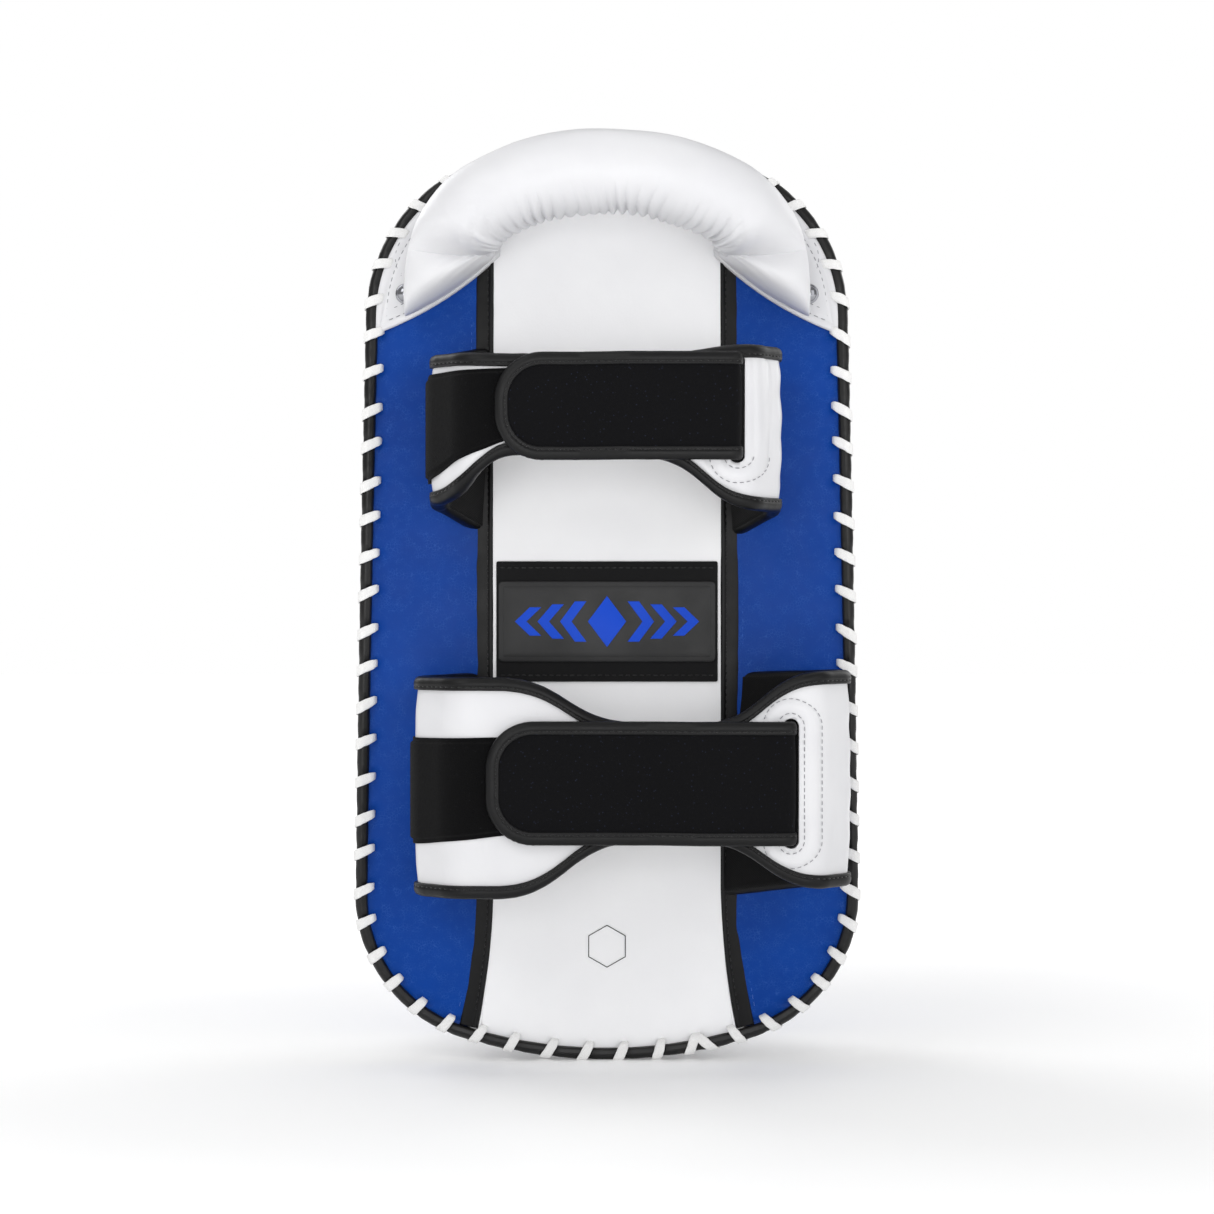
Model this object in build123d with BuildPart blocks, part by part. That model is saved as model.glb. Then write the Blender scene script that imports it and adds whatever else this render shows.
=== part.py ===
from build123d import *
import os
from math import acos, asin, atan2, cos, degrees, hypot, radians, sin, sqrt

os.makedirs("parts", exist_ok=True)

# A thai pad (kick shield worn on the forearm), standing on its lower end.
# +Z up along the forearm, -Y the strap side, +Y the strike face, +X to the right seen from the straps.
# The origin is under the middle of the pad, on the surface that it stands on. Millimetres.

# ---- driving dimensions ----
pad_height = 430.0
half_width_low = 117.5
half_width_high = 112.5
corner_low = 70.0
corner_high = 77.0
end_radius = 225.0
foam_thickness = 92.0
leather = 1.8
skin_gap = 0.1
curve_r = 1400.0            # radius of the back surface, curved along the pad's length
face_inset_side = 12.0      # how far the strike face's edge stands inside the back's, at the sides
face_inset_end = 18.0       # the same at the top and bottom ends
piping_width = 5.0
piping_proud = 4.4          # height of the edge piping over the back surface
piping_depth = 3.4          # how far the piping reaches down the side wall
lace_width = 4.0
lace_thickness = 1.0
lace_reach = 9.0            # edge of the pad to the lace holes
lace_count = 68
seam_x = 57.0               # seam between the centre and the side panels
seam_flare_z = 88.0
seam_foot_x = 71.0
seam_foot_z = 8.0
binding_width = 8.6
binding_thickness = 1.5
label_width = 103.0
label_low_z = 178.0
label_high_z = 234.0
badge_width = 101.0
badge_height = 37.5
badge_corner_r = 2.0
badge_thickness = 1.2
roll_r = 20.5
roll_skin = 2.0
roll_crown_r = 110.0        # the roll's broad top bend, along its middle
roll_crown_half = 50.0      # half the width of that bend
roll_shoulder_r = 32.0      # the tighter bend down to each foot
roll_foot_turn = 80.0       # how steeply the feet come down, degrees from level
roll_foot_run = 18.0
roll_crown_z = 411.0
roll_foot_standoff = 19.0
finger_gap = 26.0
rivet_x = 94.0
rivet_z = 359.0
rivet_cap_r = 4.5
rivet_cap_rise = 2.6
rivet_shaft_r = 1.6
rivet_depth = 9.0           # thickness of the firm backing layer, which the rivets clamp
washer_recess = 2.0
washer_r = 6.0
tab_thickness = 3.1
tab_rise = [(-114.0, 338.0), (-86.0, 350.0), (-52.0, 375.0)]     # lower edge of the left corner tab
grip_strap_width = 25.0
grip_strap_thickness = 2.5
cuff_thickness = 6.0
right_cuff_thickness = 5.0
lining = 1.2
left_standoff = 61.0        # back surface to the middle of the left cuffs' front
right_standoff = 67.5       # back surface to the middle of the right cuffs' front
strap_standoff = 73.4       # back surface to the middle of the strap beside its slot
tab_standoff = 68.5         # back surface to the middle of the strap on its loop tape
strap_thickness = 3.0
tape_thickness = 1.2
edge_binding = 4.0          # width of the binding along a cuff's or strap's edge
edge_binding_proud = 0.6
slot_width = 8.0            # slot in the right cuffs, which the strap comes through
slot_margin = 1.5           # from the strap's edge to its narrower feed
slot_clearance = 0.5        # from the fold line in the slot to the strap's tail
feed_thickness = 2.4
feed_bend_r = 3.0
feed_end_gap = 0.3
tip_radius = 21.0
hook_thickness = 1.2
hook_margin = 1.0           # from the strap's binding to its hook tape
hook_setback = 3.0          # from the strap's bend to its hook tape
strap_bend_r = 20.0

# ---- places worked out from them ----
mid_z = pad_height / 2
face_half_length = 191.3                         # half the strike face's height, which the taper leaves
face_reach = curve_r - sqrt((curve_r - foam_thickness - leather) ** 2 - face_half_length**2)
strap_reach = strap_standoff + strap_thickness / 2 + edge_binding_proud
back_y = (strap_reach - face_reach) / 2          # back surface at mid height
curve_y = back_y + curve_r                       # axis that all the curved layers share
loft_margin = 30.0                               # how far the lofted block runs past the pad's faces
loft_back_y = back_y - loft_margin
loft_front_y = back_y + foam_thickness + loft_margin
beyond = 400.0                                   # larger than half the pad, for cutting tools
overrun = 15.0                                   # how far a cutting outline runs past what it cuts
front_y = back_y - 120.0                         # outside everything on the strap side


def outline_shape(y):
    """Outline of the padded body at depth y: half widths, ends, radii."""
    t = (y - back_y) / foam_thickness
    side = face_inset_side * t
    end = face_inset_end * t
    return (half_width_low - side, half_width_high - side, end, pad_height - end, corner_low - side / 2,
            corner_high - side / 2, end_radius - side)


def draw_outline(shape, inset=0.0, mode=Mode.ADD):
    """A broad rounded outline of tangent arcs and two side lines, drawn in the current sketch."""
    low, high, bottom, top, r_low, r_high, r_end = shape
    low_x = low - r_low
    high_x = high - r_high
    low_z = bottom + r_end - sqrt((r_end - r_low) ** 2 - low_x**2)
    high_z = top - r_end + sqrt((r_end - r_high) ** 2 - high_x**2)
    side = atan2(high_z - low_z, high_x - low_x)
    side_deg = degrees(side - acos((r_low - r_high) / hypot(high_x - low_x, high_z - low_z)))
    foot_deg = degrees(atan2(low_z - bottom - r_end, low_x))
    head_deg = degrees(atan2(high_z - top + r_end, high_x))
    with BuildLine() as edge:
        CenterArc((0, bottom + r_end), r_end - inset, -180 - foot_deg, 2 * (foot_deg + 90))
        right_low = CenterArc((low_x, low_z), r_low - inset, foot_deg, side_deg - foot_deg)
        right_high = CenterArc((high_x, high_z), r_high - inset, side_deg, head_deg - side_deg)
        Line(right_low @ 1, right_high @ 0)
        CenterArc((0, top - r_end), r_end - inset, head_deg, 180 - 2 * head_deg)
        left_high = CenterArc((-high_x, high_z), r_high - inset, 180 - head_deg, head_deg - side_deg)
        left_low = CenterArc((-low_x, low_z), r_low - inset, 180 - side_deg, side_deg - foot_deg)
        Line(left_high @ 1, left_low @ 0)
    make_face(edge.edges(), mode=mode)


def keep_layer(outer_depth, inner_depth):
    """Keep what lies between two depths under the curved back surface."""
    with BuildSketch(Plane.YZ.offset(-beyond / 2)) as ring:
        with Locations((curve_y, mid_z)):
            Circle(curve_r - outer_depth)
            Circle(curve_r - inner_depth, mode=Mode.SUBTRACT)
    extrude(ring.sketch, amount=beyond, mode=Mode.INTERSECT)


def cut_at_depth(depth):
    """Take away everything that is deeper than this under the curved back surface."""
    with BuildSketch(Plane.YZ.offset(-beyond / 2)) as disc:
        with Locations((curve_y, mid_z)):
            Circle(curve_r - depth)
    extrude(disc.sketch, amount=beyond, mode=Mode.SUBTRACT)


def write(piece, name):
    piece.part.label = name
    export_step(piece.part, f"parts/{name}.step")


back_shape = outline_shape(back_y)


# ---- padded body ----
def body_envelope(inset):
    """The tapered block whose outline shrinks from the back to the strike face."""
    with BuildPart() as block:
        with BuildSketch(Plane.XZ.offset(-loft_back_y)):
            draw_outline(outline_shape(loft_back_y), inset)
        with BuildSketch(Plane.XZ.offset(-loft_front_y)):
            draw_outline(outline_shape(loft_front_y), inset)
        loft(ruled=True)
    return block


outer_block = body_envelope(piping_width / 2)
inner_block = body_envelope(piping_width / 2 + leather)
foam_block = body_envelope(piping_width / 2 + leather + skin_gap)


def foam_layer(name, outer_depth, inner_depth):
    with BuildPart() as layer:
        add(foam_block.part)
        keep_layer(outer_depth, inner_depth)
        if outer_depth < rivet_depth:
            cut_rivet_holes()
    write(layer, name)


def cut_rivet_holes():
    with BuildSketch(Plane.XZ.offset(-front_y)) as holes:
        with Locations((-rivet_x, rivet_z), (rivet_x, rivet_z)):
            Circle(rivet_shaft_r + skin_gap)
    extrude(holes.sketch, amount=-beyond / 2, mode=Mode.SUBTRACT)


layer_depths = [
    ("foam_backing", 0.0, rivet_depth),
    ("foam_core", rivet_depth + washer_recess, 45.0),
    ("foam_middle", 45.0 + skin_gap, 70.0),
    ("foam_impact", 70.0 + skin_gap, foam_thickness - skin_gap),
]
for layer_name, layer_out, layer_in in layer_depths:
    foam_layer(layer_name, layer_out, layer_in)

for wall_name, kept_side in [("side_wall_left", Keep.BOTTOM), ("side_wall_right", Keep.TOP)]:
    with BuildPart() as side_wall:
        add(outer_block.part)
        add(inner_block.part, mode=Mode.SUBTRACT)
        keep_layer(0, foam_thickness)
        split(bisect_by=Plane.YZ, keep=kept_side)
    write(side_wall, wall_name)

with BuildPart() as strike_face:
    add(outer_block.part)
    keep_layer(foam_thickness + skin_gap, foam_thickness + leather)
write(strike_face, "strike_face")


# ---- back panels and the bindings over their seams ----
def draw_seam(side, x_shift=0.0):
    """The seam beside the centre panel: straight, then flaring out at the foot."""
    straight = Line((side * (seam_x + x_shift), pad_height + overrun), (side * (seam_x + x_shift), seam_flare_z))
    TangentArc(straight @ 1, (side * (seam_foot_x + x_shift), -seam_foot_z), tangent=(0, -1))


def panel(name, side):
    """side -1 and 1 are the two side panels, and 0 is the centre panel."""
    with BuildPart() as sheet:
        with BuildSketch(Plane.XZ.offset(-back_y)):
            draw_outline(back_shape, piping_width + skin_gap)
            if side == 0:
                for edge in (-1, 1):
                    seam_side(edge, Mode.SUBTRACT)
            else:
                seam_side(side, Mode.INTERSECT, skin_gap)
        extrude(amount=beyond / 4, both=True)
        keep_layer(-leather, -skin_gap)
        if side != 0:
            cut_rivet_holes()
    write(sheet, name)


def seam_side(side, mode, shift=0.0):
    """The region outside one seam."""
    with BuildLine() as border:
        draw_seam(side, shift)
        Polyline((side * (seam_foot_x + shift), -seam_foot_z), (side * beyond, -seam_foot_z),
                 (side * beyond, pad_height + overrun), (side * (seam_x + shift), pad_height + overrun))
    make_face(border.edges(), mode=mode)


panel("back_panel_left", -1)
panel("back_panel_centre", 0)
panel("back_panel_right", 1)

for binding_name, binding_side in [("binding_left", -1), ("binding_right", 1)]:
    with BuildPart() as binding:
        with BuildSketch(Plane.XZ.offset(-back_y)):
            with BuildLine():
                draw_seam(binding_side)
            trace(line_width=binding_width)
            draw_outline(back_shape, piping_width + skin_gap, mode=Mode.INTERSECT)
        extrude(amount=beyond / 4, both=True)
        keep_layer(-leather - binding_thickness, -leather - skin_gap)
    write(binding, binding_name)

with BuildPart() as label_base:
    with BuildSketch(Plane.XZ.offset(-back_y)):
        with Locations((0, (label_low_z + label_high_z) / 2)):
            Rectangle(label_width, label_high_z - label_low_z)
    extrude(amount=beyond / 4, both=True)
    keep_layer(-leather - binding_thickness, -leather - skin_gap)
write(label_base, "label_base")

with BuildPart() as label_badge:
    with BuildSketch(Plane.XZ.offset(-back_y)):
        with Locations((0, (label_low_z + label_high_z) / 2)):
            RectangleRounded(badge_width, badge_height, badge_corner_r)
    extrude(amount=beyond / 4, both=True)
    keep_layer(-leather - binding_thickness - badge_thickness, -leather - binding_thickness - skin_gap)
write(label_badge, "label_badge")

# ---- piping round the edge, and the lace whipped over it ----
with BuildSketch(Plane.XZ) as edge_sketch:
    draw_outline(back_shape)
edge_wire = edge_sketch.sketch.face().outer_wire()


def lace_strips():
    """One short box across the edge for each turn of the lace."""
    for turn in range(lace_count):
        spot = edge_wire @ ((turn + 0.5) / lace_count)
        along = edge_wire % ((turn + 0.5) / lace_count)
        angle = degrees(atan2(along.Z, along.X))
        with Locations(Location((spot.X, back_y, spot.Z), (0, -angle, 0))):
            Box(lace_width, beyond / 8, 2 * lace_reach)


with BuildPart() as edge_lace:
    with BuildSketch(Plane.XZ.offset(-back_y)):
        draw_outline(back_shape)
        draw_outline(back_shape, lace_thickness, mode=Mode.SUBTRACT)
    extrude(amount=beyond / 4, both=True)
    keep_layer(-piping_proud, piping_depth)
    with BuildPart(mode=Mode.PRIVATE) as lace_top:
        with BuildSketch(Plane.XZ.offset(-back_y)):
            draw_outline(back_shape, lace_thickness)
            draw_outline(back_shape, lace_reach, mode=Mode.SUBTRACT)
        extrude(amount=beyond / 4, both=True)
        keep_layer(-piping_proud, -piping_proud + lace_thickness)
    add(lace_top.part)
    with BuildPart(mode=Mode.PRIVATE) as strips:
        lace_strips()
    add(strips.part, mode=Mode.INTERSECT)
write(edge_lace, "edge_lace")

with BuildPart() as edge_piping:
    with BuildSketch(Plane.XZ.offset(-back_y)):
        draw_outline(back_shape)
        draw_outline(back_shape, piping_width, mode=Mode.SUBTRACT)
    extrude(amount=beyond / 4, both=True)
    keep_layer(-piping_proud, 0)
    add(edge_lace.part, mode=Mode.SUBTRACT)
write(edge_piping, "edge_piping")


# ---- the padded grip roll, its corner tabs and rivets ----
def back_surface(z):
    return curve_y - sqrt(curve_r**2 - (z - mid_z) ** 2)


crown_turn = degrees(asin(roll_crown_half / roll_crown_r))
shoulder_x = (roll_crown_r - roll_shoulder_r) * sin(radians(crown_turn))
shoulder_drop = roll_crown_r - (roll_crown_r - roll_shoulder_r) * cos(radians(crown_turn))
foot_x = shoulder_x + roll_shoulder_r * sin(radians(roll_foot_turn))
foot_drop = shoulder_drop - roll_shoulder_r * cos(radians(roll_foot_turn))
end_x = foot_x + roll_foot_run * cos(radians(roll_foot_turn))
end_drop = foot_drop + roll_foot_run * sin(radians(roll_foot_turn))
roll_foot_z = roll_crown_z - end_drop
roll_foot_y = back_surface(roll_foot_z) - roll_foot_standoff
roll_crown_y = back_surface(roll_crown_z) - leather - finger_gap - roll_r
roll_plane = Plane(origin=(0, roll_crown_y, roll_crown_z), x_dir=(1, 0, 0),
                   z_dir=(0, roll_foot_z - roll_crown_z, roll_crown_y - roll_foot_y))


def draw_roll_route():
    """From foot to foot, in the roll's own sloping plane: run, shoulder, broad crown, shoulder, run."""
    shoulder_turn = roll_foot_turn - crown_turn
    Line((-end_x, -end_drop), (-foot_x, -foot_drop))
    CenterArc((-shoulder_x, -shoulder_drop), roll_shoulder_r, 90 + roll_foot_turn, -shoulder_turn)
    CenterArc((0, -roll_crown_r), roll_crown_r, 90 + crown_turn, -2 * crown_turn)
    CenterArc((shoulder_x, -shoulder_drop), roll_shoulder_r, 90 - crown_turn, -shoulder_turn)
    Line((foot_x, -foot_drop), (end_x, -end_drop))


def roll_tube(radius):
    with BuildPart() as tube:
        with BuildLine(roll_plane) as route:
            draw_roll_route()
        with BuildSketch(Plane(route.line @ 0, z_dir=route.line % 0)):
            Circle(radius)
        sweep()
    return tube


with BuildPart() as grip_strap:
    with BuildLine(roll_plane) as strap_route:
        draw_roll_route()
    with BuildSketch(Plane(strap_route.line @ 0, x_dir=roll_plane.z_dir, z_dir=strap_route.line % 0)):
        Rectangle(grip_strap_width, grip_strap_thickness)
    sweep()
    cut_at_depth(-leather - tab_thickness - skin_gap)
write(grip_strap, "grip_strap")

with BuildPart() as roll_core:
    add(roll_tube(roll_r - roll_skin - skin_gap).part)
    add(grip_strap.part, mode=Mode.SUBTRACT)
    cut_at_depth(-leather - tab_thickness - skin_gap)
write(roll_core, "roll_core")

with BuildPart() as roll_cover:
    add(roll_tube(roll_r).part)
    add(roll_tube(roll_r - roll_skin).part, mode=Mode.SUBTRACT)
    cut_at_depth(-leather - tab_thickness - skin_gap)
write(roll_cover, "roll_cover")

for tab_name, tab_side in [("roll_tab_left", 1), ("roll_tab_right", -1)]:
    with BuildPart() as roll_tab:
        with BuildSketch(Plane.XZ.offset(-back_y)):
            with BuildLine():
                low_edge = ThreePointArc(*[(tab_side * x, z) for x, z in tab_rise])
                Polyline(low_edge @ 0, (tab_side * -beyond, pad_height), (tab_side * tab_rise[2][0], pad_height),
                         low_edge @ 1)
            make_face()
            draw_outline(back_shape, piping_width + skin_gap, mode=Mode.INTERSECT)
            draw_outline(back_shape, lace_reach + skin_gap, mode=Mode.INTERSECT)
        extrude(amount=beyond / 4, both=True)
        keep_layer(-leather - tab_thickness, -leather - skin_gap)
        with BuildPart(mode=Mode.PRIVATE) as under_tab:
            with BuildSketch(Plane.XZ.offset(-back_y)):
                with BuildLine():
                    draw_seam(-tab_side)
                trace(line_width=binding_width + 2 * skin_gap)
            extrude(amount=beyond / 4, both=True)
            keep_layer(-leather - binding_thickness - skin_gap, 0)
        add(under_tab.part, mode=Mode.SUBTRACT)
        cut_rivet_holes()
    write(roll_tab, tab_name)


def rivet_pair(name, radius, outer_depth, inner_depth, hole_r=0.0):
    with BuildPart() as pair:
        with BuildSketch(Plane.XZ.offset(-back_y)):
            with Locations((-rivet_x, rivet_z), (rivet_x, rivet_z)):
                Circle(radius)
                if hole_r:
                    Circle(hole_r, mode=Mode.SUBTRACT)
        extrude(amount=beyond / 4, both=True)
        keep_layer(outer_depth, inner_depth)
    write(pair, name)


rivet_seat = -leather - tab_thickness
washer_seat = rivet_depth + skin_gap
post_end = rivet_depth + washer_recess - 2 * skin_gap
rivet_pair("rivet_posts", rivet_shaft_r, rivet_seat, post_end)
rivet_pair("rivet_washers", washer_r, washer_seat, post_end, rivet_shaft_r + skin_gap)

cap_sphere_r = (rivet_cap_r**2 + rivet_cap_rise**2) / (2 * rivet_cap_rise)
cap_y = back_surface(rivet_z) + rivet_seat
with BuildPart() as rivet_caps:
    with Locations((-rivet_x, cap_y - rivet_cap_rise + cap_sphere_r, rivet_z),
                   (rivet_x, cap_y - rivet_cap_rise + cap_sphere_r, rivet_z)):
        Sphere(cap_sphere_r)
    cut_at_depth(rivet_seat - skin_gap / 2)
write(rivet_caps, "rivet_caps")


# ---- forearm cuffs ----
def at(point):
    """From (x, distance in front of the back surface) to the XY plane."""
    return (point[0], back_y - point[1])


def parallel(points, distance):
    """The same path, moved to the outside of the cuff by a distance. Turns keep their angles."""
    side = -1 if points[0][0] < 0 else 1
    headings = []
    for start, end in zip(points, points[1:]):
        headings.append(atan2(end[1] - start[1], end[0] - start[0]) + side * radians(-90))
    moved = []
    for index, point in enumerate(points):
        before = headings[max(index - 1, 0)]
        after = headings[min(index, len(headings) - 1)]
        middle = (before + after) / 2
        reach = distance / cos((after - before) / 2)
        moved.append((point[0] + reach * cos(middle), point[1] + reach * sin(middle)))
    return moved


def bent_band(points, radius, thickness):
    """A strip as tall as the pad, bent along a path that is seen from above."""
    with BuildPart() as strip:
        with BuildSketch():
            with BuildLine():
                FilletPolyline(*[at(point) for point in points], radius=radius)
            trace(line_width=thickness)
        extrude(amount=pad_height)
    return strip


def cuff_window(cuff, inset):
    """What the cuff covers, seen from the strap side: its front, and its rear from the side to the root."""
    side_x, side_low, side_high = cuff["side"]
    root_x, root_low, root_high = cuff["root"]
    join_x, front_low, front_high = cuff["join"]
    end_x = cuff["end_x"]
    curve_x = cuff["curve_x"]
    sign = -1 if side_x < 0 else 1
    bow = (curve_x + join_x) / 2
    with BuildPart(mode=Mode.PRIVATE) as window:
        with BuildSketch(Plane.XZ.offset(-(back_y - cuff["split"]))):
            with BuildLine():
                upper = Bezier((curve_x, side_high - inset), (bow, side_high - inset), (bow, front_high - inset),
                               (join_x, front_high - inset))
                lower = Bezier((curve_x, side_low + inset), (bow, side_low + inset), (bow, front_low + inset),
                               (join_x, front_low + inset))
                Polyline(upper @ 1, (end_x, front_high - inset), (end_x, front_low + inset), lower @ 1)
                Polyline(upper @ 0, (side_x + sign * overrun, side_high - inset),
                         (side_x + sign * overrun, side_low + inset), lower @ 0)
            make_face()
        extrude(amount=beyond / 4)
        with BuildSketch(Plane.XZ.offset(-(back_y - cuff["split"]))):
            with BuildLine():
                Polyline((side_x + sign * overrun, side_high - inset), (side_x, side_high - inset),
                         (root_x, root_high - inset), (root_x - sign * overrun, root_high - inset),
                         (root_x - sign * overrun, root_low + inset), (root_x, root_low + inset),
                         (side_x, side_low + inset), (side_x + sign * overrun, side_low + inset), close=True)
            make_face()
        extrude(amount=-beyond / 4)
    return window


def cuff_piece(name, cuff, distance, thickness, inset, only_edge=False, x_limit=None, slot=True):
    """One layer of a cuff: its padded body, its lining, its edge binding or its tape."""
    with BuildPart() as piece:
        add(bent_band(parallel(cuff["path"], distance), cuff["radius"] + distance, thickness).part)
        add(cuff_window(cuff, inset).part, mode=Mode.INTERSECT)
        if only_edge:
            add(cuff_window(cuff, edge_binding).part, mode=Mode.SUBTRACT)
        if x_limit is not None:
            with BuildPart(mode=Mode.PRIVATE) as keep:
                with BuildSketch():
                    with Locations(at((x_limit - beyond / 2, cuff["split"] + beyond / 2))):
                        Rectangle(beyond, beyond)
                extrude(amount=pad_height)
            add(keep.part, mode=Mode.INTERSECT)
        if slot and "slot" in cuff:
            slot_low, slot_high = cuff["slot_z"]
            with Locations((cuff["slot"], back_y - right_standoff, (slot_low + slot_high) / 2)):
                Box(slot_width, 2 * overrun, slot_high - slot_low, mode=Mode.SUBTRACT)
        cut_at_depth(-leather - binding_thickness - skin_gap)
    write(piece, name)


strap_sets = {
    "upper": {"low": 278.5, "high": 326.5, "slot_x": 58.0, "tip_x": -50.0, "bend": (10.0, -12.0), "tape_x": -6.0},
    "lower": {"low": 106.5, "high": 161.5, "slot_x": 82.0, "tip_x": -54.0, "bend": (40.0, 18.0), "tape_x": 10.0},
}
cuffs = {
    "upper_cuff_left": {
        "path": [(-seam_x, -6), (-77, 22), (-77, 40), (-62, left_standoff), (60, left_standoff)],
        "radius": 14, "split": 31, "side": (-80, 259, 327), "root": (-seam_x, 246, 334),
        "curve_x": -80, "join": (-40, 281, 327), "end_x": 11,
    },
    "upper_cuff_right": {
        "path": [(seam_x, -6), (76, 22), (76, 46), (64, right_standoff), (-20, right_standoff)],
        "radius": 12, "split": 31, "side": (79, 256, 330), "root": (seam_x, 244, 334),
        "curve_x": 70, "join": (24, 276, 331), "end_x": 13, "slot": 58.0, "slot_z": (277.0, 326.5),
    },
    "lower_cuff_left": {
        "path": [(-seam_x, -6), (-84, 24), (-84, 42), (-68, left_standoff), (90, left_standoff)],
        "radius": 14, "split": 33, "side": (-87, 82, 181), "root": (-seam_x, 78, 182),
        "curve_x": -50, "join": (14, 105, 163), "end_x": 40,
    },
    "lower_cuff_right": {
        "path": [(seam_x, -6), (107, 26), (107, 50), (94, right_standoff), (-20, right_standoff)],
        "radius": 12, "split": 38, "side": (110, 87, 184), "root": (seam_x, 78, 182),
        "curve_x": 98, "join": (44, 104, 164), "end_x": 42, "slot": 82.0, "slot_z": (105.0, 163.0),
    },
}
for cuff_name, cuff in cuffs.items():
    thickness = cuff_thickness if "left" in cuff_name else right_cuff_thickness
    half = thickness / 2
    cuff_piece(cuff_name, cuff, 0, thickness, edge_binding + skin_gap)
    cuff_piece(cuff_name + "_lining", cuff, -half - skin_gap - lining / 2, lining, edge_binding + skin_gap)
    cuff_piece(cuff_name + "_binding", cuff, 0, thickness + 2 * edge_binding_proud, 0, only_edge=True, slot=False)

for strap_name, strap in strap_sets.items():
    cuff = cuffs[f"{strap_name}_cuff_left"]
    tape_distance = cuff_thickness / 2 + skin_gap + tape_thickness / 2
    cuff_piece(f"{strap_name}_loop_tape", cuff, tape_distance, tape_thickness, 2 * edge_binding,
               x_limit=strap["tape_x"])


# ---- the straps that close the cuffs ----
def strap_window(strap, inset):
    """The strap's outline with its round tip, seen from the strap side."""
    low = strap["low"] + inset
    high = strap["high"] - inset
    tip = strap["tip_x"] + inset
    tail = strap["slot_x"] + slot_clearance
    with BuildPart(mode=Mode.PRIVATE) as window:
        with BuildSketch(Plane.XZ.offset(-back_y)) as outline:
            with Locations(((tip + tail) / 2, (low + high) / 2)):
                Rectangle(tail - tip, high - low)
            fillet(outline.vertices().group_by(Axis.X)[0], tip_radius - inset)
        extrude(amount=beyond / 4)
    return window


for strap_name, strap in strap_sets.items():
    slot_x = strap["slot_x"]
    slot_bend, tip_bend = strap["bend"]
    route = [(slot_x + overrun, strap_standoff), (slot_bend, strap_standoff), (tip_bend, tab_standoff),
             (strap["tip_x"] - overrun, tab_standoff)]
    strap_band = bent_band(route, strap_bend_r, strap_thickness)
    proud_band = bent_band(route, strap_bend_r, strap_thickness + 2 * edge_binding_proud)

    with BuildPart() as strap_tab:
        add(strap_band.part)
        add(strap_window(strap, edge_binding + skin_gap).part, mode=Mode.INTERSECT)
    write(strap_tab, f"{strap_name}_strap_tab")

    with BuildPart() as strap_edge:
        add(proud_band.part)
        add(strap_window(strap, 0).part, mode=Mode.INTERSECT)
        add(strap_window(strap, edge_binding).part, mode=Mode.SUBTRACT)
    write(strap_edge, f"{strap_name}_strap_binding")

    with BuildPart() as hook_tape:
        add(strap_window(strap, edge_binding + hook_margin).part)
        with BuildSketch():
            with Locations(at((tip_bend - hook_setback - beyond / 2,
                               tab_standoff - strap_thickness / 2 - skin_gap - hook_thickness / 2))):
                Rectangle(beyond, hook_thickness)
        extrude(amount=pad_height, mode=Mode.INTERSECT)
    write(hook_tape, f"{strap_name}_hook_tape")

    cuff_end = cuffs[f"{strap_name}_cuff_left"]["end_x"]
    feed_top = right_standoff + right_cuff_thickness / 2 + feed_end_gap
    feed_route = [(cuff_end + skin_gap, left_standoff), (slot_x, left_standoff), (slot_x, feed_top)]
    with BuildPart() as strap_feed:
        add(bent_band(feed_route, feed_bend_r, feed_thickness).part)
        with BuildSketch():
            Rectangle(beyond, beyond)
        extrude(amount=strap["low"] + slot_margin, mode=Mode.SUBTRACT)
        with BuildSketch(Plane.XY.offset(strap["high"] - slot_margin)):
            Rectangle(beyond, beyond)
        extrude(amount=beyond, mode=Mode.SUBTRACT)
    write(strap_feed, f"{strap_name}_strap_feed")
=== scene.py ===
from math import acos, asin, atan2, ceil, cos, hypot, pi, radians, sin, sqrt

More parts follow.
